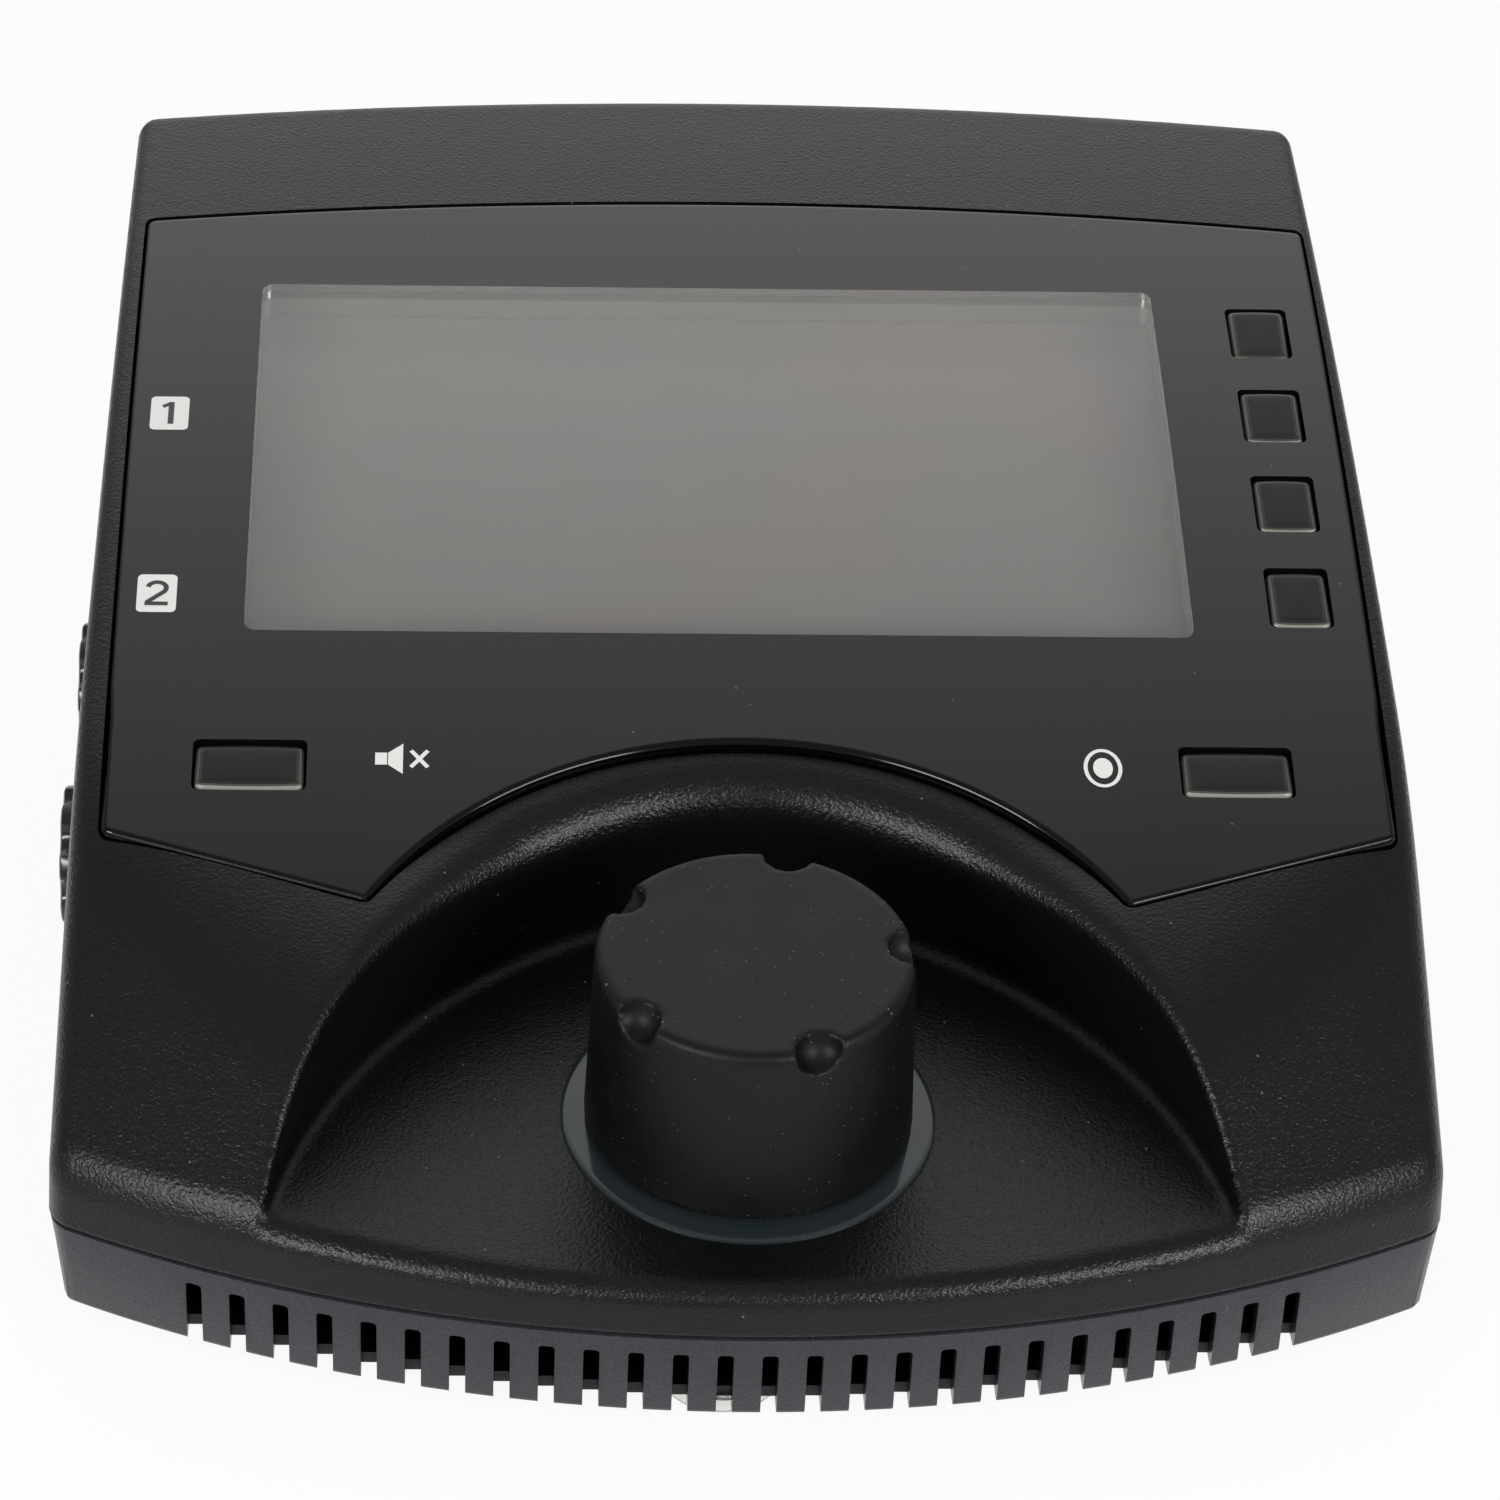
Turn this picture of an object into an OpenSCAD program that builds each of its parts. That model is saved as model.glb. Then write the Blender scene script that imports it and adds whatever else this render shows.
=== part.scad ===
// Personal monitor mixer: a wedge-shaped desktop console with a display, six keys and one large knob.
// Front is -Y, +Z is up, the origin lies on the table under the middle of the case.

/* [Case] */
// Width of the case at the parting line
case_w = 136.9; // [132:0.1:150]
// Depth of the case at the parting line, bulge to bulge
case_d = 166.2; // [160:0.2:185]
// Radius of the bulged front, in plan
front_r = 133.6; // [120:0.2:200]
// Radius of the bulged rear, in plan
rear_r = 443; // [300:1:800]
// Wall thickness of the mouldings
wall = 2.4; // [1.8:0.1:3]
// Draft of the top case's walls, degrees
top_draft = 2; // [0.5:0.5:4]
// Height of the base tray
base_h = 10; // [9:0.1:12]
// Draft of the base tray's walls, degrees
base_draft = 7.5; // [3:0.5:10]
// Thickness of the base tray's floor
base_floor = 1.6; // [1.4:0.1:3]

/* [Crowned top] */
// Radius of the crowned top, seen from the side
crown_r = 544; // [400:4:900]
// Slope of the top at the middle of the window, degrees
panel_tilt = 14.6; // [12:0.1:16]
// Height of the window's middle above the table
window_z = 58.2; // [56:0.1:64]
// Window's middle behind the middle of the case
window_y = 14.6; // [12:0.1:18]
// Depth of the top case's shelf under the crown
shelf_depth = 4.2; // [3.6:0.1:5]
// Slope of the shoulders beside the scoop, degrees
shoulder_tilt = 43; // [38:0.5:46]
// Height of the shoulders' nose above the parting line
nose_h = 6.8; // [6.5:0.1:12]

/* [Front panel] */
// Case's border beside the panel, at the parting line's width
panel_border = 4.05; // [3.8:0.05:6]
// Panel's top edge above the window's middle, on the centre line
panel_top = 44.6; // [40:0.2:50]
// Radius of the panel's arched top edge
panel_top_r = 470; // [300:10:800]
// Panel's lower corners below the window's middle
panel_low = 55.2; // [50:0.2:58]
// Panel's points beside the arch: half spacing
point_x = 37.6; // [34:0.2:42]
// Panel's points below the window's middle
point_low = 63.9; // [60:0.2:68]
// Arch cut from the panel: its radius
arch_r = 44.5; // [42:0.2:48]
// Top of the arch below the window's middle
arch_top = 43.1; // [42:0.2:48]
// Thickness of the panel
panel_t = 2; // [1.5:0.1:2.5]
// Gap round the panel
panel_gap = 0.7; // [0.3:0.1:1]

/* [Display] */
// Panel's side edges to the window
window_border = 15.4; // [14:0.1:18]
// Height of the window
window_h = 56.2; // [50:0.2:60]
// Window's middle to the left of the centre line
window_left = 2; // [0:0.1:3]
// Display's steel frame beyond the window's sides
lcd_side = 3.75; // [3:0.05:4.5]
// Display's steel frame beyond the window's top and bottom
lcd_end = 5.5; // [4:0.1:6]
// Thickness of the display's frame
lcd_t = 2.6; // [2:0.1:3]
// Thickness of the frame's sheet
lcd_sheet = 0.5; // [0.3:0.1:0.8]

/* [Keys] */
// Middle of the soft keys' column inside the panel's edge
soft_in = 6.1; // [5.9:0.1:7]
// Uppermost soft key above the window's middle
soft_top = 20.8; // [18:0.2:24]
// Spacing of the soft keys
soft_pitch = 14.3; // [13:0.1:15]
// Width of a soft key cap
soft_w = 6; // [5:0.1:6.4]
// Height of a soft key cap
soft_h = 8.1; // [6:0.1:9]
// Middle of the wide keys inside the panel's edges
wide_in = 14.7; // [13:0.1:17]
// Wide keys below the window's middle
wide_low = 46.6; // [45:0.2:48]
// Width of a wide key cap
wide_w = 10.8; // [9:0.1:11.5]
// Height of a wide key cap
wide_h = 6; // [5:0.1:7]
// Gap round each key cap
key_gap = 0.35; // [0.3:0.05:0.5]
// Cap's face below the panel's face
key_recess = 0.3; // [0.1:0.1:0.6]
// Travel of a key
key_travel = 0.3; // [0.2:0.05:0.4]
// Thickness of a cap's retaining flange
key_flange_t = 0.9; // [0.7:0.1:1.2]
// Reach of the flange beyond the cap
key_flange = 1.1; // [0.9:0.1:1.2]

/* [Scoop and knob] */
// Radius of the scoop
scoop_r = 46.6; // [45:0.2:50]
// Middle of the scoop below the window's middle
scoop_low = 95.8; // [94:0.2:98]
// Height of the scoop's floor above the parting line, at the front lip
lip_h = 5; // [4:0.1:7]
// Slope of the scoop's floor, degrees
floor_tilt = 8.9; // [7:0.1:10]
// Knob's axis behind the front bulge
knob_back = 25; // [23:0.1:28]
// Radius of the knob's top
knob_top_r = 15.4; // [14:0.1:16]
// Radius of the knob's foot
knob_foot_r = 16.1; // [15.5:0.1:17.5]
// Height of the knob's top above the scoop's floor
knob_h = 21; // [18:0.2:22]
// Gap under the knob, above its ring
knob_gap = 0.6; // [0.6:0.1:1.4]
// Wall of the hollow knob
knob_wall = 2.4; // [2:0.1:3]
// Number of finger dimples
dimples = 5; // [3:1:8]
// Radius of a dimple
dimple_r = 2.3; // [1.5:0.1:2.4]
// Depth of a dimple in the knob's edge
dimple_deep = 1.2; // [0.8:0.1:1.6]
// Turn of the first dimple from the knob's right, degrees
dimple_turn = 4; // [0:1:72]
// Outer radius of the ring
ring_r = 18.4; // [17.6:0.1:20]
// Ring's height above the floor
ring_proud = 0.5; // [0.3:0.1:0.8]
// Ring's depth below the floor
ring_sunk = 0.8; // [0.5:0.1:1.2]
// Travel of the knob's push switch
push_travel = 0.5; // [0.3:0.1:0.7]

/* [Encoder] */
// Radius of the shaft
shaft_r = 3; // [2.5:0.1:3.2]
// Outer radius of the threaded bushing
bushing_r = 4.5; // [4.2:0.1:5]
// Radial running clearance of the shaft
shaft_fit = 0.05; // [0.03:0.01:0.1]
// Width of the encoder's body
encoder_w = 13; // [12:0.5:15]
// Height of the encoder's body
encoder_h = 5.5; // [5:0.5:6.5]

/* [Vents and feet] */
// Number of vent slots
vents = 26; // [10:2:26]
// Spacing of the vent slots
vent_pitch = 4.27; // [3.5:0.01:4.4]
// Width of a vent slot
vent_w = 1.55; // [1.2:0.05:1.9]
// Top of the slots below the parting line
vent_drop = 2.4; // [2:0.1:4]
// Length of the slots in the tray's floor behind its wall
vent_run = 1; // [0.8:0.1:4]
// Radius of a bumper foot
foot_r = 6.3; // [5:0.1:7]
// Height of a bumper foot
foot_h = 2.5; // [2:0.1:4]
// Corner feet inside the case's sides
foot_in = 22.45; // [20:0.05:28]
// Front corner feet behind the case's front
foot_front_in = 39; // [36:0.5:44]
// Rear corner feet inside the case's rear
foot_rear_in = 17; // [14:0.5:24]
// Front foot behind the case's front
front_foot_in = 10; // [9:0.5:14]
// Front foot to the left of the centre line
front_foot_left = 2.7; // [0:0.1:4]

/* [Sockets] */
// Bore of a quarter-inch jack: radius
jack_bore_r = 3.25; // [3.2:0.05:3.4]
// Radius of a jack's threaded sleeve
sleeve_r = 4.6; // [4.4:0.1:5]
// Radius of a scalloped nut
nut_r = 7.7; // [7:0.1:8]
// Thickness of a scalloped nut
nut_t = 2.1; // [1.8:0.1:2.4]
// Scallops round a nut
scallops = 8; // [6:1:10]
// Radius of a scallop
scallop_r = 1.8; // [1.4:0.1:2.2]
// Scallop's middle beyond the nut's edge
scallop_out = 0.7; // [0.4:0.1:1]
// Rear input jack behind the middle of the case
input_y = 19.8; // [18:0.2:22]
// Spacing of the input jacks
input_pitch = 27.3; // [24:0.1:30]
// Height of the front input jack above the table
input_z = 20.2; // [20:0.1:22]
// Rise from the front to the rear input jack
input_rise = 5; // [0:0.2:6]
// Length of a jack's body
jack_len = 24; // [20:0.5:26]
// Width of a jack's body
jack_w = 14; // [12:0.5:14]
// Closed end behind a jack's bore
jack_end = 1.5; // [1:0.1:2]
// Spacing of the rear line outputs
output_pitch = 22; // [20:0.5:24]
// Right line output inside the case's right side
output_in = 20.45; // [18:0.05:24]
// Headphone jack to the left of the left line output
phones_left = 24; // [20:0.5:26]
// Network jack from midway between the power inlet and the headphone jack
network_off = 1; // [-2:0.5:3]
// Power inlet inside the case's left side
power_in = 20.45; // [18:0.05:22]
// Card socket behind the middle of the case
card_y = 10; // [0:1:20]

/* [Boards and screws] */
// Thickness of the boards
board_t = 1.6; // [1:0.1:2]
// Panel board's top below the window's middle
panel_board_deep = 8.6; // [8.4:0.1:9.4]
// Panel board's sides inside the panel's edges
panel_board_in = 2.4; // [2:0.1:3]
// Panel board's rear edge above the window's middle
panel_board_top = 40; // [36:0.5:42]
// Panel board's front edge below the window's middle
panel_board_low = 52; // [50:0.5:54]
// Main board's sides inside the case's sides
main_board_in = 10.45; // [9:0.05:12]
// Main board's front edge behind the case's front
main_board_front_in = 37; // [34:0.5:42]
// Main board's rear edge inside the case's rear
main_board_rear_in = 9; // [8:0.5:12]
// Main board's top above the parting line
main_board_up = 0.4; // [0.2:0.1:1]
// Panel board's posts inside the panel's edges
post_in = 5.8; // [5.6:0.1:6.2]
// Panel board's upper posts above the window's middle
post_top = 34; // [32:0.5:36]
// Panel board's lower posts below the window's middle
post_low = 36; // [34:0.5:37]
// Main board's stands inside the case's sides
stand_in = 16.45; // [15:0.05:18]
// Main board's front stands behind the case's front
stand_front_in = 47; // [44:0.5:50]
// Main board's rear stands inside the case's rear
stand_rear_in = 41; // [38:0.5:44]
// Case screws inside the case's sides
screw_in = 8.45; // [7.5:0.05:9]
// Front case screws behind the case's front
screw_front_in = 27; // [25:0.5:29]
// Rear case screws inside the case's rear
screw_rear_in = 15; // [14:0.5:17]
// Depth of a case screw in its boss
screw_bite = 10; // [8:0.5:12]
// Depth of the hole in a boss beyond the screw
screw_spare = 2; // [1:0.5:3]
// Radius of a screw's thread
screw_r = 1.5; // [1.2:0.1:1.7]
// Radius of a screw's head
head_r = 2.8; // [2.4:0.1:3.2]
// Height of a screw's head
head_t = 2; // [1.6:0.1:2.4]
// Radius of a screw boss
boss_r = 3.6; // [3.4:0.1:4]

/* [Hidden] */
$fn = 96;
// Overshoot of a cut past the face it opens
cut = 1;
// Clearance between pieces that touch face to face and pieces that pass each other
seat = 0.02;
fit = 0.2;
far = 300;

base_z = foot_h;
part_z = base_z + base_h;
base_lean = base_h * tan(base_draft);
front_y = -case_d / 2;
rear_y = case_d / 2;
panel_half_w = case_w / 2 - panel_border;
window_w = 2 * (panel_half_w - window_border);
lcd_w = window_w + 2 * lcd_side;
lcd_h = window_h + 2 * lcd_end;
soft_x = panel_half_w - soft_in;
wide_x = panel_half_w - wide_in;
output_x = case_w / 2 - output_in;
phones_x = output_x - output_pitch - phones_left;
power_x = power_in - case_w / 2;
network_x = (power_x + phones_x) / 2 + network_off;
panel_board_half_w = panel_half_w - panel_board_in;
main_board_half_w = case_w / 2 - main_board_in;
main_board_front = front_y + main_board_front_in;
main_board_rear = rear_y - main_board_rear_in;
post_x = panel_half_w - post_in;
stand_x = case_w / 2 - stand_in;
screw_x = case_w / 2 - screw_in;
foot_x = case_w / 2 - foot_in;
top_z = window_z + crown_r * (1 - cos(panel_tilt));
block_h = top_z - part_z + far / 10;
crown_y = window_y + crown_r * sin(panel_tilt);
crown_z = window_z - crown_r * cos(panel_tilt);
lip_z = part_z + lip_h;
knob_y = front_y + knob_back;
knob_z = lip_z + knob_back * tan(floor_tilt);
inputs = [[input_y, input_z + input_rise], [input_y - input_pitch, input_z]];
outputs = [output_x, output_x - output_pitch];
main_board_z = part_z + main_board_up;
output_z = main_board_z + jack_w / 2;
soft_keys = [for (i = [0:3]) [soft_x, soft_top - i * soft_pitch]];
wide_keys = [[-wide_x, -wide_low], [wide_x, -wide_low]];
board_posts = [for (x = [-post_x, post_x]) for (t = [post_top, -post_low]) [x, t]];
board_feet = [for (x = [-stand_x, stand_x])
    for (y = [front_y + stand_front_in, rear_y - stand_rear_in]) [x, y]];
case_screws_at = [for (x = [-screw_x, screw_x])
    for (y = [front_y + screw_front_in, rear_y - screw_rear_in]) [x, y]];
post_r = 2.6;
small_screw_r = 1.1;
small_head_r = 2.2;
small_head_t = 1.4;
small_screw_len = 5;
boss_rim = 1;
board_clear = 2;

// Height of the crown over the panel's own plane, at t up the slope from the window's middle
function crown_n(t) = sqrt(crown_r * crown_r - t * t) - crown_r;

// Puts children in the panel's frame: x across, y up the slope, z out of the panel
module in_panel() {
    translate([0, window_y, window_z]) rotate([panel_tilt, 0, 0]) children();
}

// Puts children on the scoop's floor at the knob's axis, z along that axis
module on_knob() {
    translate([0, knob_y, knob_z]) rotate([floor_tilt, 0, 0]) children();
}

// Lies children along X so that their z axis points to -X
module to_left() {
    rotate([0, -90, 0]) children();
}

// Lies children along Y so that their z axis points to +Y
module to_rear() {
    rotate([-90, 0, 0]) children();
}

// Solid inside the crown surface, lowered by deep
module crown_solid(deep) {
    translate([-far / 2, crown_y, crown_z]) rotate([0, 90, 0])
        cylinder(r = crown_r - deep, h = far, $fn = 360);
}

// Solid under the shoulders' slope, which runs round the bulged front, lowered by deep
module shoulder_solid(deep) {
    rise = part_z + nose_h - deep / cos(shoulder_tilt) - base_z;
    translate([0, front_y + front_r, base_z])
        cylinder(r1 = front_r + rise / tan(shoulder_tilt),
            r2 = front_r + (rise - block_h) / tan(shoulder_tilt), h = block_h, $fn = 180);
}

// Block of the base tray: bulged front and rear, walls drafted inwards downwards, inset by inset
module tray_block(inset) {
    half = case_w / 2 - inset;
    intersection() {
        translate([0, front_y + front_r, base_z])
            cylinder(r1 = front_r - inset - base_lean, r2 = front_r - inset, h = base_h, $fn = 180);
        translate([0, rear_y - rear_r, base_z])
            cylinder(r1 = rear_r - inset - base_lean, r2 = rear_r - inset, h = base_h, $fn = 360);
        translate([0, far / 2, base_z]) rotate([90, 0, 0]) linear_extrude(far)
            polygon([[base_lean - half, 0], [half - base_lean, 0], [half, base_h], [-half, base_h]]);
    }
}

// Block of the top case: drafted sides and crown first, then the bulged front and rear and the shoulders
module crowned_block(inset, deep) {
    z = part_z - inset;
    h = block_h + inset;
    low = inset - inset * tan(top_draft);
    lean = h * tan(top_draft);
    half = case_w / 2 - low;
    intersection() {
        intersection() {
            translate([0, far / 2, z]) rotate([90, 0, 0]) linear_extrude(far)
                polygon([[-half, 0], [half, 0], [half - lean, h], [lean - half, h]]);
            crown_solid(deep);
        }
        translate([0, front_y + front_r, z])
            cylinder(r1 = front_r - low, r2 = front_r - low - lean, h = h, $fn = 180);
        translate([0, rear_y - rear_r, z])
            cylinder(r1 = rear_r - low, r2 = rear_r - low - lean, h = h, $fn = 360);
        shoulder_solid(deep);
    }
}

// Space over the scoop's floor, grown by extra into the wall and the floor
module scoop_space(extra) {
    intersection() {
        in_panel() translate([0, -scoop_low, -far / 2]) cylinder(r = scoop_r + extra, h = far, $fn = 180);
        translate([0, front_y, lip_z]) rotate([floor_tilt, 0, 0])
            translate([-far / 2, -far / 2, -extra]) cube([far, far, far]);
    }
}

// The panel's outline, grown by grow
module panel_outline(grow) {
    low = -panel_low - grow;
    tip = -point_low - grow;
    side = panel_half_w + grow;
    difference() {
        intersection() {
            polygon([[-side, low], [-point_x, tip], [point_x, tip],
                [side, low], [side, far / 4], [-side, far / 4]]);
            translate([0, panel_top - panel_top_r]) circle(r = panel_top_r + grow, $fn = 360);
        }
        translate([0, -arch_top - arch_r]) circle(r = arch_r - grow, $fn = 180);
    }
}

// A rectangle in the panel's frame, grown by grow
module opening(at, w, h, grow) {
    translate([at[0] - w / 2 - grow, at[1] - h / 2 - grow]) square([w + 2 * grow, h + 2 * grow]);
}

module key_openings(grow) {
    for (k = soft_keys) opening(k, soft_w, soft_h, grow);
    for (k = wide_keys) opening(k, wide_w, wide_h, grow);
}

module window_opening(grow) {
    opening([-window_left, 0], window_w, window_h, grow);
}

// Sheet that follows the crown between two depths, cut to the outline given as child
module crown_sheet(shallow, deep) {
    intersection() {
        in_panel() translate([0, 0, -far / 10]) linear_extrude(far / 5) children();
        difference() {
            crown_solid(shallow);
            crown_solid(deep);
        }
    }
}

// Hollow of the top case under the crown, with the scoop's floor and wall left in
module top_hollow() {
    difference() {
        crowned_block(wall, shelf_depth);
        scoop_space(wall);
    }
}

module top_case() {
    color("#26282a") difference() {
        union() {
            difference() {
                crowned_block(0, 0);
                top_hollow();
            }
            intersection() {
                union() {
                    for (p = case_screws_at)
                        translate([p[0], p[1], part_z]) cylinder(r = boss_r, h = block_h, $fn = 48);
                    in_panel() for (p = board_posts)
                        translate([p[0], p[1], -panel_board_deep])
                            cylinder(r = post_r, h = panel_board_deep, $fn = 32);
                }
                crown_solid(shelf_depth - fit);
                shoulder_solid(shelf_depth - fit);
            }
        }
        scoop_space(0);
        crown_sheet(-cut, panel_t) panel_outline(panel_gap);
        in_panel() translate([0, 0, -shelf_depth - far / 20]) linear_extrude(far / 20 + shelf_depth) {
            window_opening(0);
            key_openings(key_gap);
        }
        for (p = case_screws_at)
            translate([p[0], p[1], part_z - cut])
                cylinder(r = screw_r, h = screw_bite + screw_spare + cut, $fn = 32);
        in_panel() for (p = board_posts)
            translate([p[0], p[1], -panel_board_deep - cut])
                cylinder(r = small_screw_r, h = small_screw_len, $fn = 24);
        on_knob() translate([0, 0, -ring_sunk]) cylinder(r = ring_r + fit, h = far / 10);
        on_knob() translate([0, 0, -far / 10]) cylinder(r = bushing_r + fit, h = far / 5);
        for (j = inputs) translate([-case_w / 2 + 2 * wall, j[0], j[1]]) to_left()
            cylinder(r = sleeve_r + fit, h = far / 10);
        for (x = outputs) translate([x, rear_y - 4 * wall, output_z]) to_rear()
            cylinder(r = sleeve_r + fit, h = far / 10);
        translate([phones_x, rear_y - 4 * wall, phones_z]) to_rear()
            cylinder(r = phones_sleeve_r + fit, h = far / 10);
        translate([network_x - network_w / 2 - fit, rear_y - 4 * wall, part_z - cut])
            cube([network_w + 2 * fit, far / 10, cut + main_board_up + network_h + fit]);
        translate([power_x - power_w / 2 - fit, rear_y - 4 * wall, part_z - cut])
            cube([power_w + 2 * fit, far / 10, cut + main_board_up + power_h + fit]);
        translate([case_w / 2 - 3 * wall, card_y - card_w / 2 - fit, main_board_z + card_slot_up])
            cube([far / 10, card_w + 2 * fit, card_slot_h]);
    }
}

// One vent slot: a round-topped cut through the front wall that runs on into the floor
module vent(x) {
    depth = front_r - sqrt(front_r * front_r - x * x);
    top = base_h - vent_drop - vent_w / 2;
    run = base_lean + wall + vent_run + cut;
    translate([x, front_y + depth - cut, base_z - cut]) {
        translate([-vent_w / 2, 0, 0]) cube([vent_w, run, top + cut]);
        translate([0, 0, top + cut]) to_rear() cylinder(r = vent_w / 2, h = run, $fn = 24);
    }
}

module base_tray() {
    color("#35373a") difference() {
        union() {
            difference() {
                tray_block(0);
                difference() {
                    tray_block(wall);
                    translate([-far / 2, -far / 2, base_z - cut]) cube([far, far, base_floor + cut]);
                }
            }
            for (p = case_screws_at)
                translate([p[0], p[1], base_z + base_floor - seat])
                    cylinder(r = boss_r + boss_rim, h = base_h - base_floor, $fn = 48);
            for (p = board_feet)
                translate([p[0], p[1], base_z + base_floor - seat])
                    cylinder(r = post_r, h = main_board_z - board_t - base_z - base_floor, $fn = 32);
        }
        for (i = [0:vents - 1]) vent((i - (vents - 1) / 2) * vent_pitch);
        for (p = case_screws_at) translate([p[0], p[1], base_z - cut]) {
            cylinder(r = screw_r + fit, h = far / 10, $fn = 32);
            cylinder(r = head_r + fit, h = cut + base_h / 2, $fn = 32);
        }
        for (p = board_feet)
            translate([p[0], p[1], base_z + base_floor])
                cylinder(r = small_screw_r, h = far / 10, $fn = 24);
    }
}

module front_panel() {
    color("#17181b") crown_sheet(0, panel_t - seat) difference() {
        panel_outline(0);
        window_opening(seat);
        key_openings(key_gap);
    }
}

module display_window() {
    color([0.5, 0.5, 0.49, 0.6]) crown_sheet(0, panel_t - seat) window_opening(0);
}

// The display lies under the shelf: a pressed frame round the cell, with the backlight behind
frame_reveal = 0.4;

module display_frame() {
    color("silver") in_panel() difference() {
        translate([0, 0, -panel_board_deep]) linear_extrude(lcd_t)
            opening([-window_left, 0], lcd_w, lcd_h, 0);
        translate([0, 0, -panel_board_deep - cut]) linear_extrude(lcd_t - lcd_sheet + cut)
            opening([-window_left, 0], lcd_w, lcd_h, -lcd_sheet);
        translate([0, 0, -panel_board_deep]) linear_extrude(lcd_t + cut)
            window_opening(frame_reveal);
    }
}

module display_cell() {
    color("#777775") in_panel() translate([0, 0, -panel_board_deep + lcd_t / 2])
        linear_extrude(lcd_t / 2 - lcd_sheet - seat)
        opening([-window_left, 0], lcd_w, lcd_h, -lcd_sheet - fit);
}

module display_backlight() {
    color("white") in_panel() translate([0, 0, -panel_board_deep + seat])
        linear_extrude(lcd_t / 2 - 2 * seat)
        opening([-window_left, 0], lcd_w, lcd_h, -lcd_sheet - fit);
}

// Key cap with a flange under the shelf that holds it in
module key_cap(at, w, h) {
    face = crown_n(at[1]) - key_recess;
    under = crown_n(abs(at[1]) + h / 2) - shelf_depth - fit;
    in_panel() {
        translate([0, 0, under - key_flange_t]) linear_extrude(face - under + key_flange_t)
            opening(at, w, h, 0);
        translate([0, 0, under - key_flange_t]) linear_extrude(key_flange_t) opening(at, w, h, key_flange);
    }
}

function key_under(at, h) = crown_n(abs(at[1]) + h / 2) - shelf_depth - fit - key_flange_t;

module soft_key(i) {
    color("#3a3b37") key_cap(soft_keys[i], soft_w, soft_h);
}

module mute_key() {
    color("#3a3b37") key_cap(wide_keys[0], wide_w, wide_h);
}

module record_key() {
    color("#3a3b37") key_cap(wide_keys[1], wide_w, wide_h);
}

switch_w = 4.4;
switch_stem_r = 1.2;
switch_stem_h = 0.4;
switch_slack = 0.05;

// A small push switch that fills the space between the panel board and its key, less the travel
module key_switch(at, h) {
    tall = panel_board_deep + key_under(at, h) - key_travel - switch_slack;
    translate([at[0], at[1], -panel_board_deep]) {
        translate([-switch_w / 2, -switch_w / 2, 0]) cube([switch_w, switch_w, tall - switch_stem_h]);
        cylinder(r = switch_stem_r, h = tall, $fn = 32);
    }
}

module key_switches() {
    color("#c8c4ba") in_panel() {
        for (k = soft_keys) key_switch(k, soft_h);
        for (k = wide_keys) key_switch(k, wide_h);
    }
}

module panel_board() {
    color("#1f5a36") in_panel() translate([0, 0, -panel_board_deep - board_t])
        linear_extrude(board_t - seat) difference() {
        translate([-panel_board_half_w, -panel_board_low])
            square([2 * panel_board_half_w, panel_board_low + panel_board_top]);
        translate([0, -scoop_low]) circle(r = scoop_r + wall + board_clear, $fn = 180);
        for (p = board_posts) translate(p) circle(r = small_screw_r + fit, $fn = 24);
    }
}

// Small pan-head screw, head down, whose head bears on z = 0
module small_screw(len) {
    translate([0, 0, -small_head_t]) cylinder(r = small_head_r, h = small_head_t, $fn = 32);
    cylinder(r = small_screw_r - seat, h = len, $fn = 24);
}

module panel_board_screws() {
    color("silver") in_panel() for (p = board_posts)
        translate([p[0], p[1], -panel_board_deep - board_t])
            small_screw(board_t + small_screw_len - cut - fit);
}

hub_wall = 2;
hub_r = shaft_r + hub_wall;
knob_under = ring_proud + knob_gap;
hub_room = 6;
hub_low = knob_under + hub_room;
shaft_cap = 1;
knob_edge = 0.8;

// Hollow tapered knob with a hub on the shaft and finger dimples round its top edge
module knob() {
    lean = (knob_foot_r - knob_top_r) / (knob_h - knob_under);
    hollow_top = knob_h - knob_wall;
    color("#2a2b2d") on_knob() difference() {
        rotate_extrude($fn = 120) polygon([
            [shaft_r, hub_low], [hub_r, hub_low], [hub_r, hollow_top],
            [knob_top_r + lean * knob_wall - knob_wall, hollow_top], [knob_foot_r - knob_wall, knob_under],
            [knob_foot_r, knob_under], [knob_top_r + lean * knob_edge, knob_h - knob_edge],
            [knob_top_r - knob_edge, knob_h],
            [0, knob_h], [0, hollow_top - shaft_cap], [shaft_r, hollow_top - shaft_cap]]);
        for (i = [0:dimples - 1]) rotate([0, 0, dimple_turn + i * 360 / dimples])
            translate([knob_top_r, 0, knob_h]) rotate([0, 45, 0]) translate([0, 0, -dimple_deep])
                cylinder(r = dimple_r, h = 3 * dimple_r, $fn = 48);
    }
}

module knob_ring() {
    color([0.35, 0.37, 0.34, 0.8]) on_knob() difference() {
        translate([0, 0, -ring_sunk + seat]) cylinder(r = ring_r, h = ring_sunk + ring_proud - seat);
        translate([0, 0, -ring_sunk - cut]) cylinder(r = nut_room, h = ring_sunk + ring_proud + 2 * cut);
    }
}

nut_clear = 4;
nut_room = bushing_r + nut_clear;
encoder_nut_t = 2;
encoder_nut_reach = 2.6;
encoder_nut_r = bushing_r + encoder_nut_reach;
encoder_washer_t = 0.6;
bushing_over = 1;
bushing_top = encoder_nut_t + encoder_washer_t + bushing_over - ring_sunk;
encoder_top = -wall - seat;
encoder_skin = 1;
plunger_t = 2;
plunger_r = shaft_r + 0.6;
plunger_low = encoder_top - encoder_h + encoder_skin + push_travel + fit;

module encoder_shaft() {
    low = plunger_low + plunger_t;
    color("silver") on_knob() translate([0, 0, low])
        cylinder(r = shaft_r - seat, h = knob_h - knob_wall - shaft_cap - fit - low, $fn = 64);
}

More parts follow.
